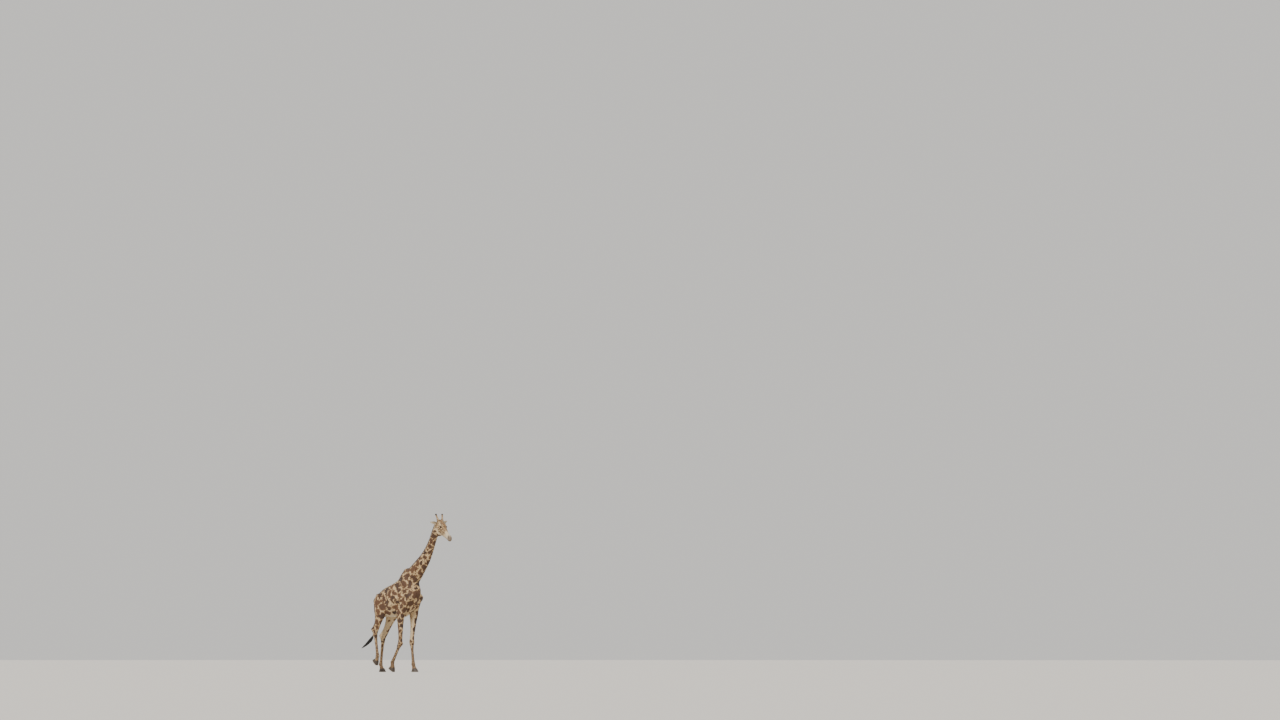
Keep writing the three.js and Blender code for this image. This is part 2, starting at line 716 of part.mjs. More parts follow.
function tailGeometry(from, to, steps) {
  const points = [];
  for (let i = 0; i <= steps; i++) {
    const share = mix(from, to, i / steps);
    const at = share * (TAIL.length - 1);
    const k = Math.min(Math.floor(at), TAIL.length - 2);
    const radius = mix(TAIL[k][3], TAIL[k + 1][3], at - k);
    const along = TAIL_LINE.getTangent(share);
    const across = new THREE.Vector3(0, 1, 0).addScaledVector(along, -along.y).normalize();
    const other = new THREE.Vector3().crossVectors(along, across);
    for (let j = 0; j < 10; j++) {
      const out = across.clone().multiplyScalar(Math.cos((Math.PI * j) / 5));
      out.addScaledVector(other, Math.sin((Math.PI * j) / 5));
      points.push(TAIL_LINE.getPoint(share).addScaledVector(out, radius));
    }
  }
  return closedRings(points, steps + 1, 10);
}

// ---- the model -------------------------------------------------------------------------------------------
const coat = new THREE.MeshStandardMaterial({ color: "#b08a5c", roughness: 0.85 });
const hair = new THREE.MeshStandardMaterial({ color: "#2a1d14", roughness: 0.8 });
const horn = new THREE.MeshStandardMaterial({ color: "#4a4038", roughness: 0.6 });
const eyeball = new THREE.MeshStandardMaterial({ color: "#1c120c", roughness: 0.1 });

const root = new THREE.Group();
function add(name, geometry, material) {
  const mesh = new THREE.Mesh(geometry, material);
  mesh.name = name;
  root.add(mesh);
  return mesh;
}

const headShell = (grow) => pieceShell(headRings(), HEAD_RINGS.around, HEAD_AND_NECK, grow);
const grownTrunk = trunkGeometry(GAP);
const grownHead = headShell(GAP);
const flesh = [grownTrunk, neckGeometry(0, NECK_SPLIT, GAP), neckGeometry(NECK_SPLIT, 1, GAP), grownHead];

add("trunk", trunkGeometry(), coat);
add("neck_lower", neckGeometry(0, NECK_SPLIT, 0), coat);
add("neck_upper", neckGeometry(NECK_SPLIT, 1, 0), coat);
add("head", cut(headShell(0), ...sides.map(([, s]) => eyeGeometry(s, EYE.radius + GAP))), coat);
add("mane", cut(maneGeometry(), ...flesh), hair);
for (const [name, s] of sides) {
  add("eye_" + name, cut(eyeGeometry(s)), eyeball);
  add("ear_" + name, cut(earGeometry(EARS[name]), grownHead), coat);
  add("ossicone_" + name, cut(ossiconeGeometry(s), grownHead), coat);
}
for (const [name, leg] of Object.entries(LEGS)) {
  const knee = leg.joints[2][2] - KNEE_CUT_BELOW;
  const top = LEG_TOP[name.split("_")[0]];
  add(name + "_upper", cut(legGeometry(name, top, knee + GAP, LEG_RINGS.upper), grownTrunk), coat);
  add(name + "_lower", legGeometry(name, knee, leg.joints[4][2], LEG_RINGS.lower), coat);
  for (const [claw, s] of [
    ["outer", leg.side],
    ["inner", -leg.side],
  ]) {
    const hoof = clawGeometry(s).translate(0, 0, -GAP).rotateY(rad(leg.pitch)).translate(...leg.joints[4]);
    add(`hoof_${name}_${claw}`, cut(hoof, floorBlock()), horn);
  }
}
add("tail", cut(tailGeometry(0, TUFT_START, 10), grownTrunk), coat);
add("tail_tuft", tailGeometry(TUFT_START + 0.001, 1, 10), hair);

// The floor is at height 0, so a block under it trims a toe that stands on its tip to a small flat.
function floorBlock() {
  return new THREE.BoxGeometry(4000, 2000, 400).translate(0, 0, -200);
}

const box = new THREE.Box3().setFromObject(root);
const middle = box.getCenter(new THREE.Vector3());
for (const mesh of root.children) mesh.geometry.translate(-middle.x, -middle.y, -box.min.z);

export default root;
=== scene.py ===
"""A walking giraffe, life size: its looks.

Lengths in the body tables are millimetres in the body's own frame: +X ahead, +Y to its left, +Z up from the
floor. `placed` turns such points into metres in the frame of the CAD model.
"""

import math

import bpy
import numpy as np
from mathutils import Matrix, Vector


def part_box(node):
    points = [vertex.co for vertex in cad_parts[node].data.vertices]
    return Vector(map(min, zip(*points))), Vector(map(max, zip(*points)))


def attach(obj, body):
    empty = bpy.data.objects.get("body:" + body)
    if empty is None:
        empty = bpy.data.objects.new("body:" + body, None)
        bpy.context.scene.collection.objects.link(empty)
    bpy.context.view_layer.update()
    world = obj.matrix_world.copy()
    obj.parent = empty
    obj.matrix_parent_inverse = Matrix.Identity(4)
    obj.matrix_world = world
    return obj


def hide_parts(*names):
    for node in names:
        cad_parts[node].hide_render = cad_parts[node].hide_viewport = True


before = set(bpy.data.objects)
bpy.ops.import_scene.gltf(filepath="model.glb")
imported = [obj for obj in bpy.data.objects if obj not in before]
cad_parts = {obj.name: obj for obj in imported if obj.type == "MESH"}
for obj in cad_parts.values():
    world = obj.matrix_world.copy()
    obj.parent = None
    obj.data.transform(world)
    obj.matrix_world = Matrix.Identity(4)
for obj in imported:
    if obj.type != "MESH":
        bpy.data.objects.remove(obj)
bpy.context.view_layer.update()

# ---- driving sizes ---------------------------------------------------------------------------------------
COAT_DEPTH = 5.0  # how far the skin lies under the tips of the coat
BODY_CELL, LEG_CELL, HEAD_CELL = 20.0, 10.0, 4.5  # spacing of the grids that the skin is found on
FUR_COVER = 1.05  # how many times over the tufts would cover the skin, were they whole rectangles
LEG_CUT = 1300.0  # height where the finer grid of the legs starts
NECK_CUT = -252.0  # level under the head, in the head's frame, where its finer grid starts
TAIL_CUT = 1850.0  # height where the tail leaves the rump's grid

NECK_ROOT, NECK_SLOPE = (540, 0, 2580), math.radians(54)  # where the neck's line starts, and how it rises
HEAD = {"at": (1838.0, -14.0, 4307.0), "pitch": 43.0, "yaw": -9.0}
EYE = {"at": (218.0, 87.0, 27.0), "socket": 24.0, "ball": 26.0, "cornea": 0.9}
LID = {"radius": 31.0, "half": 26.0, "above": 15.5, "below": 12.0, "edge": 29.0}
OSSICONE = {"at": (-6.0, 70.0, 44.0), "lean": (-0.265, 0.25, 1.0), "length": 214.0, "foot": 78.0}
# Toe, heel and half width at the sole and at the top. The top's edge falls towards the heel by its slope.
HOOF = {
    "high": 88.0, "slope": 16.0, "cleft": 3.0,
    "toe": (135.0, 70.0), "heel": (87.0, 65.0), "width": (79.0, 66.0),
}
SKIN_IN_HOOF = 12.0  # how far the skin runs on inside the horn


def unit(v):
    v = np.asarray(v, float)
    return v / np.linalg.norm(v, axis=-1, keepdims=True)


def mix(a, b, s):
    return a + (b - a) * s


def smoothstep(low, high, x):
    """0 under low, 1 over high, and 3s^2 - 2s^3 between them."""
    s = np.clip((x - low) / (high - low), 0, 1)
    return s * s * (3 - 2 * s)


def smooth_union(a, b, k):
    h = np.maximum(k - np.abs(a - b), 0) / k
    return np.minimum(a, b) - h * h * k / 4


# ---- body fields: distance in mm, negative inside --------------------------------------------------------
class Tube:
    """Sections along a straight axis. A station is (x, y, z, up, down, left, right, roundness).

    A section is |a/up|^e + |b/side|^e = 1, with half sizes that follow a monotone cubic between stations.
    """

    def __init__(self, axis, up, stations):
        self.axis = unit(axis)
        self.side = unit(np.cross(unit(up), self.axis))
        self.up = np.cross(self.axis, self.side)
        rows = []
        for x, y, z, u, d, l, r, *e in stations:
            c = np.array((x, y, z), float)
            rows.append((c @ self.axis, c @ self.up, c @ self.side, u, d, l, r, e[0] if e else 2.0))
        rows = np.array(sorted(rows))
        self.t, self.v = rows[:, 0], rows[:, 1:]
        gain = np.diff(self.v, axis=0) / np.diff(self.t)[:, None]
        before, after = gain[:-1], gain[1:]
        same = before * after > 0
        total = np.where(same, before + after, 1)
        self.slope = np.zeros_like(self.v)
        self.slope[1:-1] = np.where(same, 2 * before * after / total, 0)

    def section(self, t):
        t = np.clip(t, self.t[0], self.t[-1])
        i = np.clip(np.searchsorted(self.t, t, side="right") - 1, 0, len(self.t) - 2)
        step = (self.t[i + 1] - self.t[i])[:, None]
        s = (t - self.t[i])[:, None] / step
        return (
            (1 + 2 * s) * (1 - s) ** 2 * self.v[i]
            + s * s * (3 - 2 * s) * self.v[i + 1]
            + s * (1 - s) ** 2 * step * self.slope[i]
            + s * s * (s - 1) * step * self.slope[i + 1]
        )

    def __call__(self, p):
        t = p @ self.axis
        cu, cs, up, down, left, right, e = self.section(t).T
        a, b = p @ self.up - cu, p @ self.side - cs
        far = (
            np.abs(a / np.where(a > 0, up, down)) ** e + np.abs(b / np.where(b > 0, left, right)) ** e
        ) ** (1 / e)
        far = np.maximum(far, 1e-3)
        flat = np.maximum(np.hypot(a, b) * (1 - 1 / far), -np.minimum(up, left) * 1.5)
        past = np.maximum(self.t[0] - t, t - self.t[-1])
        return np.where(past > 0, np.hypot(np.maximum(flat, 0), past), np.maximum(flat, past))


class Mass:
    """A round cone from a to b, with radii ra and rb: a muscle or a bony point."""

    def __init__(self, a, ra, b, rb):
        self.a, self.d = np.array(a, float), np.array(b, float) - np.array(a, float)
        self.r = (ra, rb)

    def __call__(self, p):
        q = p - self.a
        s = np.clip(q @ self.d / (self.d @ self.d), 0, 1)
        return np.linalg.norm(q - s[:, None] * self.d, axis=1) - mix(*self.r, s)


def ridge(distance, width, height):
    """height * exp(-(distance / width)^2): a soft ridge, or a groove where height is negative."""
    return height * np.exp(-((distance / width) ** 2))


def from_segment(p, a, b):
    """Distance from the points to the segment a-b."""
    a, d = np.array(a, float), np.array(b, float) - np.array(a, float)
    s = np.clip((p - a) @ d / (d @ d + 1e-9), 0, 1)
    return np.linalg.norm(p - a - s[:, None] * d, axis=1)


def from_line(p, line):
    """Distance from the points to a line of many points."""
    return np.min([from_segment(p, a, b) for a, b in zip(line, line[1:])], axis=0)


SIDES = {"left": 1, "right": -1}

# x, y, z, up, down, left, right, roundness
TRUNK = Tube((1, 0, 0), (0, 0, 1), [
    (-744, 0, 2060, 40, 60, 40, 40),  # tail root
    (-718, 0, 2050, 100, 170, 84, 84),
    (-672, 0, 2030, 172, 290, 124, 124),
    (-590, 0, 2010, 268, 380, 172, 172),
    (-470, 0, 2005, 372, 420, 212, 212, 1.9),  # croup
    (-300, 0, 2020, 440, 425, 254, 254, 1.9),
    (-110, 0, 2035, 486, 450, 296, 296, 1.95),  # loin
    (100, 0, 2050, 564, 468, 316, 316, 1.85),
    (250, 0, 2075, 652, 486, 308, 308, 1.65),
    (360, 0, 2100, 790, 510, 286, 286, 1.5),
    (440, 0, 2130, 855, 548, 272, 272, 1.5),  # withers
    (560, 0, 2180, 780, 548, 262, 262, 1.6),
    (700, 0, 2230, 610, 462, 240, 240, 1.8),
    (820, 0, 2265, 425, 355, 198, 198, 2),  # breast
    (905, 0, 2280, 300, 235, 150, 150),
    (965, 0, 2285, 190, 125, 98, 98),
    (995, 0, 2285, 105, 50, 48, 48),
])
NECK_AXIS = (math.cos(NECK_SLOPE), 0, math.sin(NECK_SLOPE))
# x, y, z, towards the nape, towards the throat, left, right
NECK = Tube(NECK_AXIS, (-1, 0, 1), [
    (*NECK_ROOT, 310, 318, 192, 192),
    (715, 0, 2755, 262, 300, 174, 174),
    (862, 0, 2905, 220, 282, 156, 156),
    (1000, 0, 3045, 186, 254, 140, 140),
    (1135, 0, 3185, 158, 230, 125, 125),
    (1254, -1, 3325, 134, 207, 112, 112),
    (1352, -3, 3465, 116, 185, 102, 102),
    (1440, -5, 3610, 102, 164, 94, 94),
    (1518, -7, 3755, 92, 146, 88, 88),
    (1590, -9, 3900, 88, 134, 84, 84),
    (1660, -11, 4040, 90, 126, 83, 83),
    (1736, -13, 4170, 94, 116, 81, 81),
    (1800, -14, 4270, 80, 92, 64, 64),
])

# ---- head: its own frame, u along the face, v to its left, w out of the forehead -------------------------
pitch, yaw = math.radians(HEAD["pitch"]), math.radians(HEAD["yaw"])
HEAD_AXES = np.zeros((3, 3))
HEAD_AXES[0] = (math.cos(yaw) * math.cos(pitch), math.sin(yaw) * math.cos(pitch), -math.sin(pitch))
HEAD_AXES[1] = (-math.sin(yaw), math.cos(yaw), 0)
HEAD_AXES[2] = np.cross(HEAD_AXES[0], HEAD_AXES[1])


def on_head(u, v, w):
    return np.array(HEAD["at"]) + np.array((u, v, w), float) @ HEAD_AXES


def head_coordinates(p):
    return (p - np.array(HEAD["at"])) @ HEAD_AXES.T


def mirrored(q):
    """The head's points, with those of its right side moved over to the left."""
    return q * (1, 0, 1) + np.abs(q) * (0, 1, 0)


SKULL = Tube(HEAD_AXES[0], HEAD_AXES[2], [
    (*on_head(u, 0, w), up, down, half, half, e)
    for u, w, up, down, half, e in [
        (-78, 0, 30, 40, 30, 2),
        (-54, 0, 62, 88, 60, 2),
        (0, 0, 84, 140, 80, 2),
        (80, 0, 96, 200, 92, 2.2),  # crown
        (160, 0, 96, 228, 97, 2.3),
        (232, 0, 90, 228, 95, 2.3),  # eyes
        (310, 0, 75, 212, 81, 2.3),
        (400, 0, 60, 184, 66, 2.3),
        (500, 0, 50, 152, 57, 2.2),
        (590, 0, 47, 126, 56, 2.2),
        (655, 0, 45, 106, 60, 2.3),  # nostrils
        (705, -8, 36, 88, 57, 2.4),
        (738, -22, 24, 60, 45, 2.3),
        (756, -34, 10, 28, 22, 2),
    ]
])


def ossicone_frame(side):
    """Middle of an ossicone's root, and the way it stands."""
    s = SIDES[side]
    forward, out, up = OSSICONE["lean"]
    u, v, w = OSSICONE["at"]
    return on_head(u, s * v, w), unit(np.array((forward, s * out, up)))


def head_masses():
    masses = [Mass(on_head(180, 0, 68), 44, on_head(250, 0, 56), 34)]  # middle knob
    for side, s in SIDES.items():
        root, along = ossicone_frame(side)
        masses += [
            Mass(on_head(168, s * 78, 58), 30, on_head(258, s * 74, 46), 27),  # brow
            Mass(on_head(140, s * 58, -80), 64, on_head(225, s * 52, -130), 50),  # cheek
            Mass(on_head(12, s * 60, -44), 44, on_head(14, s * 78, -48), 34),  # ear root
            Mass(root, 46, root + OSSICONE["foot"] * along, 22),  # foot of the ossicone
        ]
    return masses


HEAD_MASSES = head_masses()
THROAT = Mass((1735, -10, 3990), 86, (1850, -14, 3978), 76)
SHOULDERS = [
    Mass((450, 80, 2700), 46, (846, 160, 2140), 94),
    Mass((846, 160, 2140), 92, (690, 180, 1880), 92),
    Mass((430, -80, 2700), 46, (800, -160, 2150), 92),
    Mass((800, -160, 2150), 90, (590, -178, 1880), 92),
]
HAUNCHES = [Mass((-270, s * 190, 2255), 54, (-600, s * 90, 2070), 60) for s in SIDES.values()]

# ---- legs ------------------------------------------------------------------------------------------------
# A section sits at a share of the way down one of the leg's bones: (bone, share, front, back, outer, inner).
FORE_SECTIONS = [
    (0, 0.0, 170, 190, 70, 60),
    (0, 0.5, 160, 190, 84, 72),
    (0, 1.0, 138, 172, 88, 76),  # elbow
    (1, 0.14, 116, 146, 86, 70),
    (1, 0.32, 96, 108, 77, 64),
    (1, 0.58, 80, 76, 66, 60),
    (1, 0.82, 68, 64, 58, 56),
    (1, 0.94, 78, 68, 66, 64),
    (2, 0.0, 84, 72, 72, 70),  # knee
    (2, 0.09, 76, 70, 68, 66),
    (2, 0.18, 54, 56, 54, 52),
    (2, 0.4, 42, 48, 39, 38),
    (2, 0.7, 41, 48, 38, 37),
    (2, 0.88, 48, 56, 46, 44),
    (3, 0.0, 57, 64, 55, 53),  # fetlock
    (3, 0.45, 54, 57, 54, 52),
    (3, 1.0, 70, 66, 68, 66),  # coronet
    (3, 1.7, 74, 70, 70, 68),
]
HIND_SECTIONS = [
    (0, 0.0, 150, 150, 92, 80),
    (0, 0.45, 240, 270, 108, 92),
    (0, 1.0, 246, 262, 108, 88),  # stifle
    (1, 0.2, 222, 180, 98, 80),
    (1, 0.4, 168, 126, 86, 72),
    (1, 0.62, 120, 98, 70, 62),
    (1, 0.84, 96, 76, 58, 54),
    (2, 0.0, 80, 66, 62, 58),  # hock
    (2, 0.1, 64, 58, 56, 53),
    (2, 0.22, 50, 54, 45, 44),
    (2, 0.5, 43, 50, 38, 37),
    (2, 0.75, 42, 49, 38, 37),
    (2, 0.9, 48, 56, 46, 44),
    (3, 0.0, 55, 62, 53, 51),  # fetlock
    (3, 0.45, 52, 54, 51, 49),
    (3, 1.0, 64, 62, 62, 60),  # coronet
    (3, 1.7, 68, 66, 64, 62),
]
# Joints: top, elbow or stifle, knee or hock, fetlock, coronet. Pitch, in degrees, is the hoof's tip.
LEGS = {
    "fore_left": {
        "side": 1, "pitch": 0, "sections": FORE_SECTIONS,
        "joints": [
            (650, 150, 2060), (608, 184, 1650), (518, 172, 880), (606, 158, 218), (650, 154, 88),
        ],
    },
    "fore_right": {
        "side": -1, "pitch": 34, "sections": FORE_SECTIONS,
        "joints": [
            (540, -150, 2060), (440, -188, 1650), (410, -186, 815), (122, -206, 290), (116, -210, 141),
        ],
    },
    "hind_left": {
        "side": 1, "pitch": 0, "sections": HIND_SECTIONS, "tuber": (-772, 180, 1050),
        "joints": [
            (-430, 150, 2260), (-245, 176, 1760), (-655, 178, 962), (-742, 172, 214), (-694, 170, 88),
        ],
    },
    "hind_right": {
        "side": -1, "pitch": 50, "sections": HIND_SECTIONS, "tuber": (-735, -190, 1236),
        "joints": [
            (-430, -150, 2260), (-385, -180, 1790), (-612, -186, 1120), (-512, -186, 462), (-555, -188, 345),
        ],
    },
}


def along_bone(leg, bone, share):
    return mix(*(np.array(leg["joints"][i], float) for i in (bone, bone + 1)), share)


def leg_tube(leg):
    """The leg's sections, cut level, so those of a leaning bone are longer by 1/cos of its lean."""
    stations = []
    for bone, share, front, back, outer, inner in leg["sections"]:
        a, b = (np.array(leg["joints"][i], float) for i in (bone, bone + 1))
        longer = 1 if bone == 0 else math.hypot(b[0] - a[0], b[2] - a[2]) / abs(b[2] - a[2])
        halves = (outer, inner) if leg["side"] > 0 else (inner, outer)
        stations.append((*mix(a, b, share), front * longer, back * longer, *halves, 2.1))
    return Tube((0, 0, -1), (1, 0, 0), stations)


def hock_shapes(leg):
    """The point of the hock, the tendon that runs up from it, and the web of skin between tendon and shin."""
    if "tuber" not in leg:
        return []
    tuber, calf = np.array(leg["tuber"], float), along_bone(leg, 1, 0.45)
    low = mix(tuber, along_bone(leg, 1, 0.95), 0.3)
    high = mix(mix(tuber, calf, 0.5), along_bone(leg, 1, 0.7), 0.5)
    return [Mass(tuber, 29, along_bone(leg, 2, 0.12), 44), Mass(tuber, 27, calf, 60), Mass(low, 30, high, 34)]


for leg in LEGS.values():
    tip = math.radians(leg["pitch"] - HOOF["slope"])
    leg["tube"], leg["hock"] = leg_tube(leg), hock_shapes(leg)
    leg["down"] = np.array((-math.sin(tip), 0, -math.cos(tip)))


def leg_field(leg, p):
    """The leg's tube joined to the hock's shapes, and cut off square a little way inside the hoof."""
    d = leg["tube"](p)
    for shape in leg["hock"]:
        d = smooth_union(d, shape(p), 34)
    coronet = (p - np.array(leg["joints"][4], float)) @ leg["down"]
    return np.maximum(d, coronet - SKIN_IN_HOOF)


# ---- relief on the flanks: muscles, bones and hollows ----------------------------------------------------
# Seen from the side: (x, z) to (x, z), width and height. A negative height is a groove.
FLANK_RELIEF = [
    ((470, 2840), (800, 2230), 26, 9),  # spine of the shoulder blade
    ((590, 2850), (900, 2330), 32, -8),  # groove ahead of the shoulder
    ((330, 2790), (560, 2130), 46, -12),  # hollow behind the shoulder
    ((640, 2110), (560, 1950), 70, 12),  # back of the upper arm
    ((720, 2060), (700, 1900), 30, -7),
    ((-160, 2300), (-70, 1990), 70, -15),  # hollow of the flank
    ((-265, 2300), (-262, 2290), 46, 17),  # point of the hip
    ((-640, 2070), (-650, 2040), 40, 9),  # seat bone
    ((-520, 2230), (-590, 1560), 26, -8),  # groove down the thigh
    ((-400, 2240), (-420, 1800), 22, -5),
    ((-270, 2240), (-250, 1840), 44, 8),
    ((-110, 1860), (-230, 1680), 30, 8),  # fold from belly to stifle
    ((-245, 1760), (-250, 1740), 60, 10),  # stifle
] + [((250 - 46 * i, 2470 - 12 * i), (190 - 50 * i, 1900 + 8 * i), 15, 2.6) for i in range(8)]  # ribs
# The jugular groove follows the throat's side of the neck, with a ridge of muscle behind it.
JUGULAR = [(800, 2560), (976, 2822), (1338, 3264), (1577, 3712), (1730, 4000)]
FLANK_RELIEF += [(a, b, 26, -8) for a, b in zip(JUGULAR, JUGULAR[1:])]
FLANK_RELIEF += [
    ((a[0] - 70, a[1] + 50), (b[0] - 60, b[1] + 44), 34, 5) for a, b in zip(JUGULAR, JUGULAR[1:])
]


def flank_relief(p):
    """The sum of the ridges along FLANK_RELIEF's lines in the side view, fading out at the body's middle."""
    flat = p[:, (0, 2)]
    lift = np.zeros(len(p))
    for a, b, width, height in FLANK_RELIEF:
        near = np.abs(flat - np.mean((a, b), axis=0)).max(1) < 3 * width + np.ptp((a, b), axis=0).max()
        lift[near] += ridge(from_segment(flat[near], a, b), width, height)
    return lift * smoothstep(30, 90, np.abs(p[:, 1]))


def leg_relief(leg, p):
    """Grooves beside the tendons, the bones of the knee and the knobs of the fetlock."""
    lift = np.zeros(len(p))

    def line(a, b, width, height):
        lift[:] += ridge(from_segment(p, a, b), width, height)

    def beside(bone, share, ahead, out):
        return along_bone(leg, bone, share) + (ahead, out, 0)

    for s in (1, -1):
        line(beside(2, 0.22, -16, s * 36), beside(2, 0.84, -16, s * 36), 11, -5)  # along the cannon bone
        line(beside(3, -0.06, -34, s * 44), beside(3, 0.1, -34, s * 44), 20, 5)  # knobs of the fetlock
        line(beside(3, 0.3, 22, s * 44), beside(3, 0.8, 22, s * 44), 14, -3)
        if "tuber" in leg:
            tendon, shin = np.array(leg["tuber"], float), along_bone(leg, 1, 0.55)
            low, high = (mix(tendon, shin, share) for share in (0.15, 0.8))
            line(low + (44, s * 52, 30), high + (24, s * 60, 60), 18, -6)  # hollow ahead of the tendon
            line(beside(2, 0.02, 10, s * 56), beside(2, 0.1, 10, s * 52), 24, 6)
        else:
            line(beside(2, -0.03, 30, s * 48), beside(2, 0.04, 30, s * 48), 24, 6)
            line(beside(2, 0.085, 10, s * 58), beside(2, 0.1, 34, s * 50), 13, -4)
    return lift


# ---- head detail, in the head's frame --------------------------------------------------------------------
# (u, v, w) to (u, v, w) on the left side, width and height; the right side is its mirror image.
HEAD_RELIEF = [
    ((262, 92, 0), (400, 66, -42), 13, 6),  # cheek bone
    ((150, 100, 10), (232, 98, -14), 13, 5),
    ((296, 84, -70), (322, 62, -165), 17, -6),  # edge of the chewing muscle
    ((360, 60, -120), (460, 48, -112), 30, -7),  # hollow of the jaw
    ((104, 88, 44), (128, 90, 30), 24, -9),  # temple
    ((290, 74, 30), (330, 70, 14), 20, -5),  # ahead of the eye
    ((420, 48, 34), (560, 40, 30), 16, -3.5),
    ((612, 40, 42), (656, 44, 40), 17, 5),  # wing of the nostril
    ((560, 52, 8), (610, 56, -14), 22, -5),  # hollow behind the nostril
    ((700, 0, 26), (744, 0, -4), 9, -3),  # furrow between the nostrils
    ((660, 60, -36), (700, 56, -36), 14, 4),  # upper lip, over the side of the mouth
    ((700, 56, -36), (744, 26, -34), 14, 4),
    ((744, 26, -34), (754, 0, -36), 14, 3),
    ((690, 36, -78), (716, 0, -76), 17, 5),  # chin
    ((600, 40, -96), (650, 0, -104), 20, -7),
    ((690, 54, -62), (600, 54, -74), 10, 3),  # lower lip
    ((560, 54, -46), (572, 54, -68), 13, -4),  # corner of the mouth
]
NOSTRIL = [(630, 40, 36), (652, 48, 30), (674, 52, 14), (684, 54, -2), (678, 56, -10)]
MOUTH = [(752, 0, -52), (744, 24, -53), (718, 44, -56), (670, 56, -60), (624, 56, -62), (578, 54, -58)]
FACE_LINES = {}  # the same lines, smoothed and moved onto the skin
SNOUT = 520.0  # both lie ahead of this place along the face


def head_relief(p):
    """The sum of HEAD_RELIEF's ridges, then the nostrils' slits and the mouth's, each with a soft rim."""
    q = mirrored(head_coordinates(p))
    lift = np.zeros(len(p))
    for a, b, width, height in HEAD_RELIEF:
        lift += ridge(from_segment(q, a, b), width, height)
    near = q[:, 0] > SNOUT
    q = q[near]
    nostril, lips = from_line(q, FACE_LINES["nostril"]), from_line(q, FACE_LINES["mouth"])
    lift[near] += ridge(nostril - 15, 9, 7) - ridge(nostril, 6.5, 16)
    fading = mix(0.3, 1, smoothstep(570, 680, q[:, 0]))  # the lips close softly towards the corner
    lift[near] += fading * (ridge(lips - 13, 8, 4) - ridge(lips, 5, 9))
    return lift


def eye_frame(s):
    """Centre of an eye, and the directions forward along the lids, up across them and out of the head."""
    out = unit(np.array((0.30, s * 0.94, 0.10)))
    ahead = np.array((1.0, 0.0, 0.26))
    ahead = unit(ahead - (ahead @ out) * out)
    up = np.cross(out, ahead) * s
    u, v, w = EYE["at"]
    return on_head(u, s * v, w), ahead @ HEAD_AXES, up @ HEAD_AXES, out @ HEAD_AXES


def lid_gap(x, y):
    """Under 0 between the lids: |y| - h (1 - (x / half)^2), with h above or below the middle."""
    high = np.where(y > 0, LID["above"], LID["below"])
    return (np.abs(y) - high * (1 - (x / LID["half"]) ** 2)) * 0.8


def lidded(p, d):
    """Round lids over the eyes, open along an almond, with a crease over each."""
    for s in SIDES.values():
        centre, ahead, up, out = eye_frame(s)
        near = np.linalg.norm(p - centre, axis=1) < 70
        q = p[near] - centre
        x, y, z, r = q @ ahead, q @ up, q @ out, np.linalg.norm(q, axis=1)
        lid = smooth_union(d[near], r - LID["radius"], 7)
        crease = ridge(y - 22 + 0.010 * x * x, 4.2, 3.2) * smoothstep(36, 22, np.abs(x))
        crease += ridge(y + 19 - 0.008 * x * x, 4.2, 1.8) * smoothstep(34, 20, np.abs(x))
        lid += crease * (z > 0)
        gap = np.maximum(np.maximum(lid_gap(x, y), EYE["socket"] - r), -z)
        d[near] = np.maximum(lid, -gap)
    return d


# ---- the whole body --------------------------------------------------------------------------------------
# How far some parts can reach: places along the body, then heights.
TORSO_FRONT, TAIL_FRONT = 1500, -560
HEAD_LOWEST, THIGH_TOP, LEG_RELIEF_TOP, FLANK_RELIEF_TOP = 3500, 2400, 1900, 4060


def torso_field(p):
    """Trunk and neck with the masses of shoulders and haunches."""
    d = smooth_union(TRUNK(p), NECK(p), 110)
    for shape in SHOULDERS + HAUNCHES:
        d = smooth_union(d, shape(p), 70)
    return d


def head_field(p):
    """Skull, throat and the head's masses on the neck, and on the torso where any point is as far back."""
    d = smooth_union(torso_field(p) if p[:, 0].min() < TORSO_FRONT else NECK(p), SKULL(p), 70)
    d = smooth_union(d, THROAT(p), 70)
    for shape in HEAD_MASSES:
        d = smooth_union(d, shape(p), 26)
    return d


# The tail: where its line passes, and how thick it is there. The hair starts at the sixth point.
TAIL = [
    (-706, 0, 2092, 46),
    (-750, -2, 2040, 38),
    (-768, -8, 1930, 29),
    (-768, -20, 1600, 21),
    (-792, -28, 1300, 18),
    (-846, -34, 1080, 17),
    (-884, -42, 1005, 40),
    (-941, -60, 917, 54),
    (-1052, -92, 810, 43),
    (-1148, -125, 735, 25),
    (-1219, -149, 682, 6),
]
TAIL_HINT = (1, 0, 0.2)  # the first spoke of every ring round the tail is square to this
TAIL_ROOT = [Mass(a[:3], a[3], b[:3], b[3]) for a, b in zip(TAIL[:3], TAIL[1:4])]


def near_leg(leg, p, top, past):
    """The points under `top` that lie near this leg, as far as `past` beyond the body's middle."""
    return (p[:, 2] < top) & (np.abs(p[:, 0] - leg["joints"][1][0]) < 700) & (p[:, 1] * leg["side"] > -past)


def body_field(p):
    """Everything but the head's relief, as deep as the skin. Each part counts only where it can reach."""
    d = torso_field(p)
    high = p[:, 2] > HEAD_LOWEST
    if high.any():
        d[high] = head_field(p[high])
    for leg in LEGS.values():
        mine = near_leg(leg, p, THIGH_TOP, 60)
        d[mine] = smooth_union(d[mine], leg_field(leg, p[mine]), 60)
    tail = p[:, 0] < TAIL_FRONT
    for shape in TAIL_ROOT:
        d[tail] = smooth_union(d[tail], shape(p[tail]), 24)
    d += COAT_DEPTH - flank_relief(p)
    for leg in LEGS.values():
        mine = near_leg(leg, p, LEG_RELIEF_TOP, 20)
        d[mine] -= leg_relief(leg, p[mine])
    return d


def head_skin_field(p):
    """The head, as deep as its skin, with its relief and lids, and the upper end of the neck's grooves."""
    d = head_field(p) + COAT_DEPTH - head_relief(p)
    near = p[:, 2] < FLANK_RELIEF_TOP
    d[near] -= flank_relief(p[near])
    return lidded(p, d)


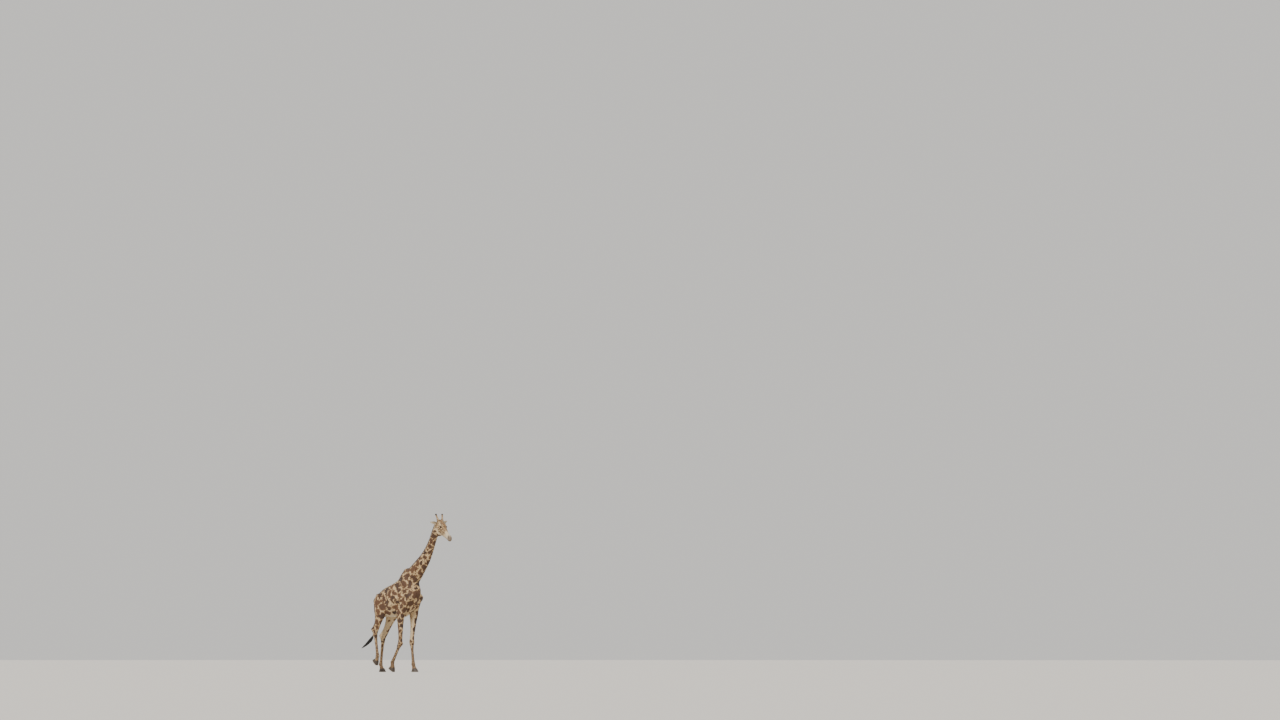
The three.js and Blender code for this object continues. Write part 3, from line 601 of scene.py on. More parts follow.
# ---- from fields to faces --------------------------------------------------------------------------------
def surface_net(field, origin, axes, counts, cell, block=4):
    """The surface field = 0 as quads, one corner in each cell of a grid that the surface passes through.

    The corner is the mean of the places where it crosses the cell's edges. The field is worked out on a
    coarse grid first, and on the fine one only where the coarse value is small.
    Returns points, quads and the cell of each point.
    """
    counts = (np.array(counts) // block + 1) * block
    step = cell * np.array(axes, float)

    def at(index):
        return np.asarray(origin, float) + index @ step

    coarse_n = counts // block + 1
    coarse = np.indices(coarse_n).reshape(3, -1).T * block
    rough = field(at(coarse.astype(float))).reshape(coarse_n)
    corners = np.stack([rough[i:, j:, k:][: coarse_n[0] - 1, : coarse_n[1] - 1, : coarse_n[2] - 1]
                        for i in (0, 1) for j in (0, 1) for k in (0, 1)])
    live = (np.abs(corners).min(0) < 2.2 * block * cell) | (corners.min(0) * corners.max(0) < 0)
    value = np.kron(corners[0], np.ones((block,) * 3))
    value = np.pad(value, ((0, 1),) * 3, mode="edge")
    mark = np.kron(live, np.ones((block,) * 3, bool))
    wanted = np.zeros(np.array(mark.shape) + 1, bool)
    for i in (0, 1):
        for j in (0, 1):
            for k in (0, 1):
                wanted[i : i + mark.shape[0], j : j + mark.shape[1], k : k + mark.shape[2]] |= mark
    index = np.argwhere(wanted)
    value[wanted] = field(at(index.astype(float)))

    inside = value < 0
    total = sum(inside[i : i + counts[0], j : j + counts[1], k : k + counts[2]].astype(np.int8)
                for i in (0, 1) for j in (0, 1) for k in (0, 1))
    cells = np.argwhere((total > 0) & (total < 8))
    number = np.full(counts, -1)
    number[tuple(cells.T)] = np.arange(len(cells))
    place, hits = np.zeros((len(cells), 3)), np.zeros((len(cells), 1))
    for axis in range(3):
        one = np.eye(3, dtype=int)[axis]
        for side in range(4):
            base = np.insert([side & 1, side >> 1], axis, 0)
            a, b = value[tuple((cells + base).T)], value[tuple((cells + base + one).T)]
            cross = (a < 0) != (b < 0)
            s = np.where(cross, a / np.where(cross, a - b, 1), 0)[:, None]
            place += np.where(cross[:, None], cells + base + s * one, 0)
            hits += cross[:, None]
    points = at(place / hits)

    quads = []
    for axis in range(3):
        one = np.eye(3, dtype=int)[axis]
        low = [slice(1, n) for n in counts]
        low[axis] = slice(0, counts[axis])
        ahead = list(low)
        ahead[axis] = slice(1, counts[axis] + 1)
        a, b = inside[tuple(low)], inside[tuple(ahead)]
        edge = np.argwhere(a != b)
        first = edge + (1 - one)
        leaving = a[tuple(edge.T)]
        j, k = np.eye(3, dtype=int)[(axis + 1) % 3], np.eye(3, dtype=int)[(axis + 2) % 3]
        ring = np.stack([number[tuple((first - o).T)] for o in (j + k, k, 0 * j, j)], axis=1)
        ring[~leaving] = ring[~leaving][:, ::-1]
        quads.append(ring)
    return points, np.concatenate(quads), cells


def settled(field, points, rounds=3):
    """Moves points onto field = 0 by Newton's rule, p - f grad f / |grad f|^2."""
    for _ in range(rounds):
        f = field(points)
        slope = np.stack([field(points + 0.8 * e) - f for e in np.eye(3)], axis=1) / 0.8
        steep = np.maximum((slope**2).sum(1), 0.25)
        points = points - np.clip(f / steep, -8, 8)[:, None] * slope
    return points


def rims(quads):
    """Loops of the edges that only one face uses, as corner numbers in their order."""
    a, b = quads.ravel(), np.roll(quads, -1, axis=1).ravel()
    size = quads.max() + 1
    alone = ~np.isin(a.astype(np.int64) * size + b, b.astype(np.int64) * size + a)
    following = dict(zip(a[alone].tolist(), b[alone].tolist()))
    loops = []
    while following:
        start, at = following.popitem()
        loop = [start]
        while at != start:
            loop.append(at)
            at = following.pop(at)
        loops.append(np.array(loop))
    return loops


def zipped(points, one, other, axis):
    """Triangles between two loops round the same axis: each edge is joined to the nearest corner opposite."""
    axis = unit(axis)
    right = unit(np.cross(axis, (0.3, 0.9, 0.1)))
    across = np.cross(axis, right)
    centre = points[np.concatenate((one, other))].mean(0)

    def ordered(loop):
        q = points[loop] - centre
        turn = np.arctan2(q @ across, q @ right)
        turned = np.sum(np.sin(np.diff(turn, append=turn[0]))) < 0
        if turned:
            loop, turn = loop[::-1], turn[::-1]
        start = np.argmin(np.abs(turn))
        loop, turn = np.roll(loop, -start), np.roll(turn, -start)
        turn = np.unwrap(turn)
        turn -= 0 if turn[0] < 1 else 2 * math.pi
        turn = np.maximum.accumulate(np.append(turn, turn[0] + 2 * math.pi))
        return np.append(loop, loop[0]), turn, turned

    (a, ta, turned), (b, tb, _) = ordered(one), ordered(other)
    ma, mb = (ta[1:] + ta[:-1]) / 2, (tb[1:] + tb[:-1]) / 2
    first = np.stack([a[:-1], a[1:], b[np.searchsorted(mb, ma)]], axis=1)
    second = np.stack([b[1:], b[:-1], a[np.searchsorted(ma, mb, side="right")]], axis=1)
    faces = np.concatenate((first, second))
    return faces if turned else faces[:, ::-1]


# ---- surfaces of two parameters --------------------------------------------------------------------------
def curve_through(stations, count):
    """Points of a smooth curve through the stations (Catmull-Rom), with its directions."""
    p = np.array(stations, float)
    p = np.concatenate((2 * p[:1] - p[1:2], p, 2 * p[-1:] - p[-2:-1]))
    at = np.linspace(0, len(stations) - 1, count)
    i = np.minimum(at.astype(int), len(stations) - 2)
    s = (at - i)[:, None]
    a, b, c, d = p[i], p[i + 1], p[i + 2], p[i + 3]
    place = 0.5 * (2 * b + (c - a) * s + (2 * a - 5 * b + 4 * c - d) * s**2 + (3 * b - a - 3 * c + d) * s**3)
    way = np.gradient(place[:, :3], axis=0)
    return place, unit(way)


def ring_quads(rings, around):
    """Quads between one ring of points and the next."""
    i, j = np.meshgrid(np.arange(rings - 1), np.arange(around), indexing="ij")
    k = (j + 1) % around
    low, high = i * around, (i + 1) * around
    return np.stack([low + j, low + k, high + k, high + j], axis=-1).reshape(-1, 4)


def lathe_faces(rings, around):
    """Quads between rings of points, and the triangles of a fan over each end, whose middles come last."""
    low, high = np.arange(around), (rings - 1) * around + np.arange(around)
    middle = rings * around
    fans = np.concatenate((
        np.stack([np.roll(low, -1), low, np.full(around, middle)], axis=1),
        np.stack([high, np.roll(high, -1), np.full(around, middle + 1)], axis=1),
    ))
    return ring_quads(rings, around), fans


def closed_rings(rings):
    """Points, quads and triangles of a closed surface from an array (rings, around, 3), ends shut by fans."""
    n, around = rings.shape[:2]
    points = np.concatenate((rings.reshape(-1, 3), rings[[0, -1]].mean(1)))
    return points, *lathe_faces(n, around)


def rope(line, radius, around, way=None, hint=(0.31, 0.17, 0.93)):
    """Rings of radius r round a line: line + r (cos a, sin a) in the plane across its direction."""
    way = unit(np.gradient(line, axis=0)) if way is None else way
    side = unit(np.cross(way, hint))
    other = np.cross(way, side)
    turn = np.linspace(0, 2 * math.pi, around, endpoint=False)
    radius = np.broadcast_to(radius, len(line))[:, None, None]
    spokes = side[:, None] * np.cos(turn)[None, :, None] + other[:, None] * np.sin(turn)[None, :, None]
    return line[:, None] + radius * spokes


# ---- the skin --------------------------------------------------------------------------------------------
def on_face(stations):
    """A smooth line through the points, moved onto the face, in the head's frame."""
    line, _ = curve_through([(*station, 0) for station in stations], 3 * len(stations))
    line = np.array(HEAD["at"]) + line[:, :3] @ HEAD_AXES
    return head_coordinates(settled(lambda p: head_field(p) + COAT_DEPTH, line, 6))


FACE_LINES.update(nostril=on_face(NOSTRIL), mouth=on_face(MOUTH))


def box_net(field, low, high, cell, axes=np.eye(3), origin=(0, 0, 0)):
    """surface_net over the box low to high, given in the frame of `axes` at `origin`."""
    low, high = np.array(low, float), np.array(high, float)
    counts = np.ceil((high - low) / cell).astype(int)
    return surface_net(field, np.array(origin) + low @ axes, axes, counts, cell)


def tail_tube(around=14):
    """Rings round the tail from under its root to inside the tuft, and a fan over the lower end."""
    line, way = curve_through(TAIL[:7], 400)
    keep = line[:, 2] < TAIL_CUT - 16
    line, way = line[keep][::5], way[keep][::5]
    radius = np.minimum(line[:, 3], 21) - COAT_DEPTH * 0.7
    rings = rope(line[:, :3], radius, around, way, TAIL_HINT)
    points = np.concatenate((rings.reshape(-1, 3), line[-1:, :3] + way[-1] * 8))
    quads, fans = lathe_faces(len(rings), around)
    return points, quads, fans[around:] - (0, 0, 1)


def skin_surface():
    """One closed skin: a coarse net for the body, finer ones for legs and head, and a tube for the tail."""
    corner = (-860, -360, LEG_CUT)
    body, body_quads, cells = box_net(body_field, corner, (1960, 360, 4240), BODY_CELL)
    centre = np.array(corner) + (cells + 0.5) * BODY_CELL
    over = head_coordinates(centre)[:, 2] > NECK_CUT - 26
    tail = (centre[:, 0] < -730) & (np.abs(centre[:, 1]) < 70) & (centre[:, 2] < TAIL_CUT)
    body_quads = body_quads[~(over | tail)[body_quads].any(1)]
    legs, leg_quads, _ = box_net(body_field, (-900, -320, 60), (780, 320, LEG_CUT - 20), LEG_CELL)
    head, head_quads, _ = box_net(
        head_skin_field, (-120, -150, NECK_CUT), (780, 150, 170), HEAD_CELL, HEAD_AXES, HEAD["at"]
    )
    tube, tube_quads, fan = tail_tube()
    parts = [
        (settled(body_field, body), body_quads),
        (settled(body_field, legs), leg_quads),
        (settled(head_skin_field, head), head_quads),
        (tube, tube_quads),
    ]
    points, quads, loops, start = [], [], [], 0
    for place, faces in parts:
        points.append(place)
        quads.append(faces + start)
        loops.append([loop + start for loop in rims(faces)])
        start += len(place)
    points, quads = np.concatenate(points), np.concatenate(quads)

    def middle(loop):
        return points[loop].mean(0)

    loops[3] = [max(loops[3], key=lambda loop: middle(loop)[2])]  # the fan closes the lower end
    triangles = [fan + start - len(tube)]
    for finer in loops[1:]:
        for loop in finer:
            mate = min(loops[0], key=lambda other: np.linalg.norm(middle(other) - middle(loop)))
            triangles.append(zipped(points, loop, mate, middle(mate) - middle(loop)))
    return points, quads, np.concatenate(triangles)


def mesh_object(name, points, *faces):
    """A mesh from points in the CAD frame, in metres, and arrays of triangles and quads."""
    mesh = bpy.data.meshes.new(name)
    sizes = np.concatenate([np.full(len(f), f.shape[1]) for f in faces]).astype(np.int32)
    corners = np.concatenate([f.ravel() for f in faces]).astype(np.int32)
    mesh.vertices.add(len(points))
    mesh.vertices.foreach_set("co", np.ascontiguousarray(points, np.float32).ravel())
    mesh.loops.add(len(corners))
    mesh.loops.foreach_set("vertex_index", corners)
    mesh.polygons.add(len(sizes))
    mesh.polygons.foreach_set("loop_start", np.concatenate(([0], np.cumsum(sizes)[:-1])).astype(np.int32))
    mesh.polygons.foreach_set("use_smooth", np.full(len(sizes), True))
    mesh.update(calc_edges=True)
    mesh.validate()
    piece = bpy.data.objects.new(name, mesh)
    bpy.context.scene.collection.objects.link(piece)
    return piece


MM = 1000.0  # in a metre
EYE_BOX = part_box("eye_left")
SHIFT = on_head(*EYE["at"]) - (np.array(EYE_BOX[0]) + np.array(EYE_BOX[1])) * MM / 2


def placed(points):
    """From the body's frame, in mm, to the CAD model's, in metres. The left eye gives the shift."""
    return (np.asarray(points) - SHIFT) / MM


# ---- the lie of the coat ---------------------------------------------------------------------------------
def waves(p, length, seed, count=10):
    """A smooth random field near -1 to 1: the mean of sine waves of about that length, each its own way."""
    rng = np.random.default_rng(seed)
    way = unit(rng.normal(size=(count, 3))) * (2 * math.pi / length) * rng.uniform(0.7, 1.4, (count, 1))
    phase = rng.uniform(0, 2 * math.pi, count)
    return np.sin(p @ way.T + phase).sum(1) / math.sqrt(count)


def regions(p):
    """Shares of head, neck and leg at each point; what is left is trunk."""
    q = head_coordinates(p)
    head = smoothstep(-250, -150, q[:, 2]) * (p[:, 2] > 3600)
    along = (p - NECK_ROOT) @ np.array(NECK_AXIS)
    neck = smoothstep(-50, 420, along) * (1 - head) * (p[:, 0] > 300)
    leg = smoothstep(1950, 1450, p[:, 2])
    return head, neck, leg, along, q


def patch_size(p):
    """Mean width of a marking: largest on the trunk, smaller up the neck, smallest on face and feet."""
    head, neck, leg, along, q = regions(p)
    size = mix(225, 145, smoothstep(100, 1700, along) * neck)
    size = mix(size, mix(46, 170, smoothstep(150, 1700, p[:, 2])), leg)
    return mix(size, mix(68, 34, smoothstep(0, 520, q[:, 0])), head)


def lie(p, normal):
    """Which way the hair points: back over the trunk, down neck and legs, and from muzzle to crown."""
    head, neck, leg, _, q = regions(p)
    way = np.tile((-1.0, 0.0, -0.35), (len(p), 1))
    down_neck = -np.array(NECK_AXIS) + (-0.25, 0, 0)
    way = mix(way, down_neck, neck[:, None])
    way = mix(way, np.array((-0.12, 0, -1.0)), leg[:, None])
    brow = smoothstep(-20, 120, q[:, 2] + 60)[:, None]
    way = mix(way, -HEAD_AXES[0] - HEAD_AXES[2] * (1 - brow) * 0.5, head[:, None])
    way += 0.18 * np.stack([waves(p, 260, seed) for seed in (1, 2, 3)], axis=1)
    way -= (way * normal).sum(1, keepdims=True) * normal
    return unit(way)


# ---- the markings ----------------------------------------------------------------------------------------
def spread(p, size, rng):
    """Points picked one after another, each the farthest from all before it in units of the local size."""
    gap = np.full(len(p), np.inf)
    chance = rng.uniform(0.72, 1.28, len(p))
    at, picked = 0, []
    while len(picked) < 1500:
        picked.append(at)
        gap = np.minimum(gap, np.linalg.norm(p - p[at], axis=1) / size)
        at = int(np.argmax(gap * chance))
        if gap[at] < 0.74:
            break
    return np.array(picked)


def markings(p, rng):
    """For each skin point: how far inside its patch it is, as a share of the patch's size, and a random
    number of that patch. Patches are the regions nearest to scattered seeds, in a slightly warped space."""
    head = regions(p)[0]
    size = patch_size(p)
    bent = p + 0.16 * size[:, None] * np.stack([waves(p, 210, seed) for seed in (4, 5, 6)], axis=1)
    bent += (head * 9)[:, None] * np.stack([waves(p, 48, seed) for seed in (7, 8, 9)], axis=1)
    seeds = spread(bent, size * (1 + head * 0.32 * waves(p, 120, 10)), rng)
    gain = rng.uniform(0.82, 1.16, len(seeds))
    inside, owner = np.zeros(len(p)), np.zeros(len(p), int)
    for part in np.array_split(np.arange(len(p)), 24):
        d = np.linalg.norm(bent[part, None, :].astype(np.float32) - bent[seeds].astype(np.float32), axis=2)
        d /= gain
        nearest = np.argpartition(d, 1, axis=1)[:, :2]
        both = np.take_along_axis(d, nearest, axis=1)
        first = np.argmin(both, axis=1)
        inside[part] = np.abs(both[:, 1] - both[:, 0]) / 2 / size[part]
        owner[part] = nearest[np.arange(len(part)), first]
    return inside - 0.05 * head, rng.uniform(0, 1, len(seeds))[owner]


def paleness(p, normal):
    """1 where the markings fade out: belly, groin, inside of the legs, throat and muzzle."""
    head, neck, leg, along, q = regions(p)
    belly = smoothstep(-0.55, -0.9, normal[:, 2]) * (p[:, 2] > 1400) * (p[:, 2] < 2000)
    inner = smoothstep(0.5, 0.9, -normal[:, 1] * np.sign(p[:, 1])) * leg * smoothstep(500, 1200, p[:, 2])
    muzzle = head * smoothstep(400, 540, q[:, 0] + 24 * waves(p, 90, 31))
    throat = head * smoothstep(-120, -190, q[:, 2])
    return np.clip(0.8 * belly + 0.45 * inner + muzzle + 0.6 * throat, 0, 1)


def brownness(p):
    """1 on the brown hair of the forehead, from the ossicones down to the middle of the face."""
    head, _, _, _, q = regions(p)
    top = smoothstep(10, 75, q[:, 2]) * smoothstep(70, 30, np.abs(q[:, 1]))
    return head * top * smoothstep(-60, 40, q[:, 0]) * smoothstep(520, 330, q[:, 0])


def greyness(p):
    """1 on the muzzle, where the hair is short and grey brown."""
    head, _, _, _, q = regions(p)
    return head * smoothstep(560, 700, q[:, 0])


FAR = 99.0  # mm, farther than bare skin reaches


def bareness(p):
    """1 on the dark bare skin of nostrils, lips and lids; in the nostrils' slits this dark is also painted
    shade.
    """
    q = mirrored(head_coordinates(p))
    near = np.full(len(p), FAR)
    snout = q[:, 0] > SNOUT
    corner = 7 * smoothstep(690, 590, q[snout, 0])
    near[snout] = np.minimum(
        from_line(q[snout], FACE_LINES["nostril"]) - 4, from_line(q[snout], FACE_LINES["mouth"]) - 1 + corner
    )
    for s in SIDES.values():
        centre, ahead, up, out = eye_frame(s)
        r = p - centre
        rim = np.hypot((r @ ahead) / 1.6, r @ up) - 16
        near = np.minimum(near, np.where(r @ out > 0, rim, FAR))
    return smoothstep(7, 1, near)


# ---- materials -------------------------------------------------------------------------------------------
def colour(code):
    """sRGB hex to linear RGBA."""
    rgb = [int(code[i : i + 2], 16) / 255 for i in (1, 3, 5)]
    return (*[c / 12.92 if c <= 0.04045 else ((c + 0.055) / 1.055) ** 2.4 for c in rgb], 1.0)


def new_material(name):
    material = bpy.data.materials.new(name)
    material.use_nodes = True
    tree = material.node_tree
    tree.nodes.clear()
    return material, tree


def add(tree, kind, inputs=None, **settings):
    """Adds a node: settings are its properties, inputs are values or the sockets that feed it."""
    made = tree.nodes.new(kind)
    for name, value in settings.items():
        setattr(made, name, value)
    for name, value in (inputs or {}).items():
        if isinstance(value, bpy.types.NodeSocket):
            tree.links.new(value, made.inputs[name])
        else:
            made.inputs[name].default_value = value
    return made


def surface(tree, **inputs):
    """The material's Principled shader and output; names are the shader's, with _ for a space."""
    shader = add(tree, "ShaderNodeBsdfPrincipled", {k.replace("_", " "): v for k, v in inputs.items()})
    add(tree, "ShaderNodeOutputMaterial", {"Surface": shader.outputs[0]})


def attribute(tree, name, out="Fac"):
    return add(tree, "ShaderNodeAttribute", attribute_name=name).outputs[out]


def maths(tree, operation, *values):
    return add(tree, "ShaderNodeMath", dict(enumerate(values)), operation=operation).outputs[0]


def blended(tree, share, a, b):
    """From colour a at share 0 to b at share 1; each is a socket or an sRGB code."""
    made = add(tree, "ShaderNodeMix", {"Factor": share}, data_type="RGBA")
    for socket, value in ((made.inputs[6], a), (made.inputs[7], b)):
        if isinstance(value, str):
            socket.default_value = colour(value)
        else:
            tree.links.new(value, socket)
    return made.outputs[2]


def ramp(tree, value, low, high, start=0.0, end=1.0):
    return add(
        tree, "ShaderNodeMapRange",
        {"Value": value, "From Min": low, "From Max": high, "To Min": start, "To Max": end},
        interpolation_type="SMOOTHSTEP",
    ).outputs[0]


def noise(tree, vector, scale, detail=2.0, rough=0.5):
    return add(
        tree, "ShaderNodeTexNoise", {"Vector": vector, "Scale": scale, "Detail": detail, "Roughness": rough}
    ).outputs["Fac"]


def coat_material():
    """Short flat fur: jagged dark patches on a buff ground. Every part reads where its hair is rooted, so a
    tuft has the colour of the skin under it."""
    material, tree = new_material("short_flat_fur")
    root = attribute(tree, "root", "Vector")
    inside, patch = attribute(tree, "inside"), attribute(tree, "patch")
    pale, bare, size = attribute(tree, "pale"), attribute(tree, "bare"), attribute(tree, "size")
    muzzle, tan = attribute(tree, "muzzle"), attribute(tree, "tan")
    # The patches' edges are broken by noise of three sizes. A row is the noise's scale, detail and roughness,
    # the range of patch sizes, in metres, over which its strength changes, and the strength at either end.
    edge = inside
    for scale, detail, rough, small, large, weak, strong in (
        (12.0, 1.0, 0.5, 0.07, 0.2, 0.0, 0.50),  # lobes of 80 mm, none on small patches
        (33.0, 2.0, 0.6, 0.03, 0.16, 0.22, 0.46),  # teeth of 30 mm
        (90.0, 2.0, 0.6, 0.03, 0.2, 0.36, 0.12),  # nicks of 11 mm, few on large patches
    ):
        wave = maths(tree, "SUBTRACT", noise(tree, root, scale, detail, rough), 0.5)
        wave = maths(tree, "MULTIPLY", wave, ramp(tree, size, small, large, weak, strong))
        edge = maths(tree, "ADD", edge, wave)
    edge = maths(tree, "SUBTRACT", edge, maths(tree, "MULTIPLY", pale, 0.62))
    mask = ramp(tree, edge, 0.058, 0.084)
    ground = blended(tree, noise(tree, root, 3.1), "#bf9c6c", "#d8bd90")
    ground = blended(tree, pale, ground, "#d6c4a4")
    ground = blended(tree, maths(tree, "MULTIPLY", tan, 0.75), ground, "#99703f")
    ground = blended(tree, muzzle, ground, "#8f7c68")
    dark = blended(tree, patch, "#38251a", "#664428")
    dark = blended(tree, ramp(tree, edge, 0.08, 0.32), blended(tree, 0.4, dark, "#7b5634"), dark)
    coat = blended(tree, mask, ground, dark)
    # Hairs differ a little from one another: streaks of 4 mm, the finest that shows at arm's length.
    streak = noise(tree, root, 240.0, 3.0, 0.7)
    streaked = blended(tree, 0.5, coat, "#2a1a10")
    coat = blended(tree, ramp(tree, streak, 0.3, 0.8, 0.0, 0.35), coat, streaked)
    # Near black on bare skin and the ossicones' black hair, and painted shade in the nostrils' slits and deep
    # in the ears.
    coat = blended(tree, bare, coat, "#1d1715")
    bump = add(tree, "ShaderNodeBump", {"Strength": 0.35, "Distance": 0.0012, "Height": streak})
    surface(
        tree, Base_Color=coat, Roughness=0.72, Normal=bump.outputs[0], Sheen_Weight=0.15, Sheen_Roughness=0.4
    )
    return material


# ---- pieces ----------------------------------------------------------------------------------------------
def dressed(name, points, faces, values, material, slot, *nodes):
    """A piece of the model from points in the body's frame: its mesh, the values that its shader reads, its
    material, its slot, which is not used, and the nodes that it replaces."""
    piece = mesh_object(name, placed(points.reshape(-1, 3)), *faces)
    for key, value in values.items():
        kind, field = ("FLOAT", "value") if np.ndim(value) == 1 else ("FLOAT_VECTOR", "vector")
        made = piece.data.attributes.new(key, kind, "POINT")
        made.data.foreach_set(field, np.ascontiguousarray(value, np.float32).ravel())
    piece.data.materials.append(material)
    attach(piece, "root")
    if nodes:
        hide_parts(*nodes)
    return piece


def triangulated(quads, triangles):
    return np.concatenate((quads[:, (0, 1, 2)], quads[:, (0, 2, 3)], triangles))


def grown(points, faces):
    """Unit normals at the points of a surface of triangles: the mean of its faces' normals."""
    a, b, c = (points[faces[:, i]] for i in range(3))
    face = np.cross(b - a, c - a)
    total = np.zeros_like(points)
    for i in range(3):
        for axis in range(3):
            total[:, axis] += np.bincount(faces[:, i], face[:, axis], len(points))
    return unit(total + 1e-12)


LEG_NODES = [f"{name}_{part}" for name in LEGS for part in ("upper", "lower")]
FLESH_NODES = ["trunk", "neck_lower", "neck_upper", "head", "tail", *LEG_NODES]

points, quads, triangles = skin_surface()
all_triangles = triangulated(quads, triangles)
normals = grown(points, all_triangles)
rng = np.random.default_rng(7)
inside, patch = markings(points, rng)
SKIN = {
    "root": placed(points),
    "inside": inside,
    "patch": patch,
    "pale": paleness(points, normals),
    # dark bare skin and black hair, with painted shade in the nostrils' slits and deep in the ears
    "bare": bareness(points),
    "muzzle": greyness(points),
    "tan": brownness(points),
    "size": patch_size(points) / MM,
}
coat = coat_material()
dressed("skin", points, (quads, triangles), SKIN, coat, "coat", *FLESH_NODES)


# ---- eyes and lids ---------------------------------------------------------------------------------------
def eyeball(side):
    """A ball with a slightly raised cornea: r = ball + cornea cos^8 of the angle from the gaze."""
    centre, ahead, up, out = eye_frame(SIDES[side])
    tilt = np.linspace(0, math.pi, 33)[1:-1]
    turn = np.linspace(0, 2 * math.pi, 48, endpoint=False)
    tilt, turn = np.meshgrid(tilt, turn, indexing="ij")
    r = EYE["ball"] + EYE["cornea"] * np.maximum(np.cos(tilt), 0) ** 8
    x, y, z = r * np.sin(tilt) * np.cos(turn), r * np.sin(tilt) * np.sin(turn), r * np.cos(tilt)
    handed = 1 if np.dot(np.cross(ahead, up), out) > 0 else -1
    rings = centre + x[..., None] * ahead + handed * y[..., None] * up + z[..., None] * out
    points, quads, fans = closed_rings(rings)
    points[-2], points[-1] = centre + (EYE["ball"] + EYE["cornea"]) * out, centre - EYE["ball"] * out
    return points, quads[:, ::-1], fans[:, ::-1], (points - centre) @ np.stack((ahead, up, out), axis=1)


def eye_material():
    """A wet dark eye: brown iris with a wide level pupil, under a clear, shiny cornea."""
    material, tree = new_material("wet_dark_eye")
    place = add(tree, "ShaderNodeSeparateXYZ", {"Vector": attribute(tree, "gaze", "Vector")})

    def out_from_middle(*halves):
        """Distance from the middle of the gaze, as a share of an ellipse with these half axes."""
        squares = [
            maths(tree, "POWER", maths(tree, "DIVIDE", place.outputs[i], half), 2.0)
            for i, half in enumerate(halves)
        ]
        return maths(tree, "SQRT", maths(tree, "ADD", *squares))

    pupil, iris = out_from_middle(9.5, 5.0), out_from_middle(1.0, 1.0)
    shade = blended(tree, ramp(tree, pupil, 0.92, 1.08), "#040302", "#2c1709")
    shade = blended(tree, ramp(tree, iris, 15.5, 18.0), shade, "#0e0805")
    surface(tree, Base_Color=shade, Roughness=0.1, Coat_Weight=0.4, Coat_Roughness=0.02, IOR=1.376)
    return material


def lid_line(side, a):
    """Points of both lids' edges at angles a, on a ball just over the eye: x = -0.985 half cos a, and
    y = h (1 - cos^2 a)^0.9."""
    centre, ahead, up, out = eye_frame(SIDES[side])
    x = -LID["half"] * np.cos(a) * 0.985
    high = np.where(a < math.pi, LID["above"], -LID["below"])
    y = high * (1 - np.cos(a) ** 2) ** 0.9
    z = np.sqrt(LID["edge"] ** 2 - x * x - y * y)
    return centre + x[:, None] * ahead + y[:, None] * up + z[:, None] * out


def lid_margin(side, count=64, around=8, radius=2.3):
    """A rope along the lids' edge, which closes on itself."""
    line = lid_line(side, np.linspace(0, 2 * math.pi, count, endpoint=False))
    way = unit(np.roll(line, -1, axis=0) - np.roll(line, 1, axis=0))
    points = rope(line, radius, around, way).reshape(-1, 3)
    return points, ring_quads(count + 1, around) % len(points)


def bare_material():
    """Smooth dark skin without hair, a little moist, as round the eyes."""
    material, tree = new_material("bare_dark_skin")
    surface(tree, Base_Color=colour("#2b2120"), Roughness=0.42, Specular_IOR_Level=0.5)
    return material


eye_look, bare_look = eye_material(), bare_material()
for side in SIDES:
    ball, ball_quads, ball_fans, gaze = eyeball(side)
    faces = (ball_quads, ball_fans)
    dressed("eyeball_" + side, ball, faces, {"gaze": gaze}, eye_look, "eye", "eye_" + side)
    edge, edge_quads = lid_margin(side)
    dressed("lid_edge_" + side, edge, (edge_quads,), {}, bare_look, "coat")


# ---- hooves ----------------------------------------------------------------------------------------------
def claw(side):
    """Half of a rounded sole at every level: x = reach cos^0.9 a, y = width (0.22 + 0.78 sin^0.8 a).

    The wall leans in towards the coronet, and the top turns over inward under the hair.
    """
    level = np.array([0, 0.012, 0.04, 0.12, 0.25, 0.4, 0.55, 0.7, 0.84, 0.95, 1.0, 1.03, 1.03])
    inset = np.array([5.5, 2.2, 0.6, 0, 0, 0.3, 0.5, 0.5, 0.2, 0.6, 3, 9, 24])
    turn = np.linspace(0, math.pi, 22)
    ahead, out = np.cos(turn), np.sin(turn)
    rings = []
    for h, i in zip(level, inset):
        toe, heel, width = (mix(*HOOF[name], h) - i for name in ("toe", "heel", "width"))
        reach = np.where(ahead > 0, toe, heel)
        x = np.sign(ahead) * np.abs(ahead) ** 0.9 * reach
        y = HOOF["cleft"] / 2 + width * (0.22 + 0.78 * out**0.8)
        back = np.linspace(-0.93, 0.93, 8)
        inner_x = back * np.where(back > 0, toe, heel)
        inner_y = HOOF["cleft"] / 2 + 2.5 * back**2
        x, y = np.append(x, inner_x), np.append(y, inner_y)
        z = (h - 1) * HOOF["high"] + h * x * math.tan(math.radians(HOOF["slope"]))
        rings.append(np.stack((x, side * y, z), axis=1))
    rings = np.array(rings)
    return rings if side > 0 else rings[:, ::-1]


def on_foot(leg, points):
    """From the hoof's own frame, with its top's middle at 0, to the foot; nothing passes the floor."""
    tip = math.radians(leg["pitch"])
    turned = np.array(((math.cos(tip), 0, -math.sin(tip)), (0, 1, 0), (math.sin(tip), 0, math.cos(tip))))
    points = points @ turned + np.array(leg["joints"][4], float)
    return np.maximum(points, (-1e9, -1e9, 0.0))


def horn_material():
    """Dull dark horn, blotched and paler towards the sole, with shallow growth rings 6 mm apart."""
    material, tree = new_material("dull_dark_horn")
    level = attribute(tree, "level")
    root = attribute(tree, "root", "Vector")
    rings = noise(tree, add(tree, "ShaderNodeCombineXYZ", {"X": level}).outputs[0], 17.0, 3.0, 0.7)
    stain = noise(tree, root, 28.0, 4.0, 0.6)
    shade = blended(tree, stain, "#26201b", "#57493b")
    shade = blended(tree, ramp(tree, level, 0.25, 0.0, 0.0, 0.55), shade, "#8a7a66")
    bump = add(tree, "ShaderNodeBump", {"Strength": 0.5, "Distance": 0.0015, "Height": rings})
    surface(tree, Base_Color=shade, Roughness=0.5, Normal=bump.outputs[0])
    return material


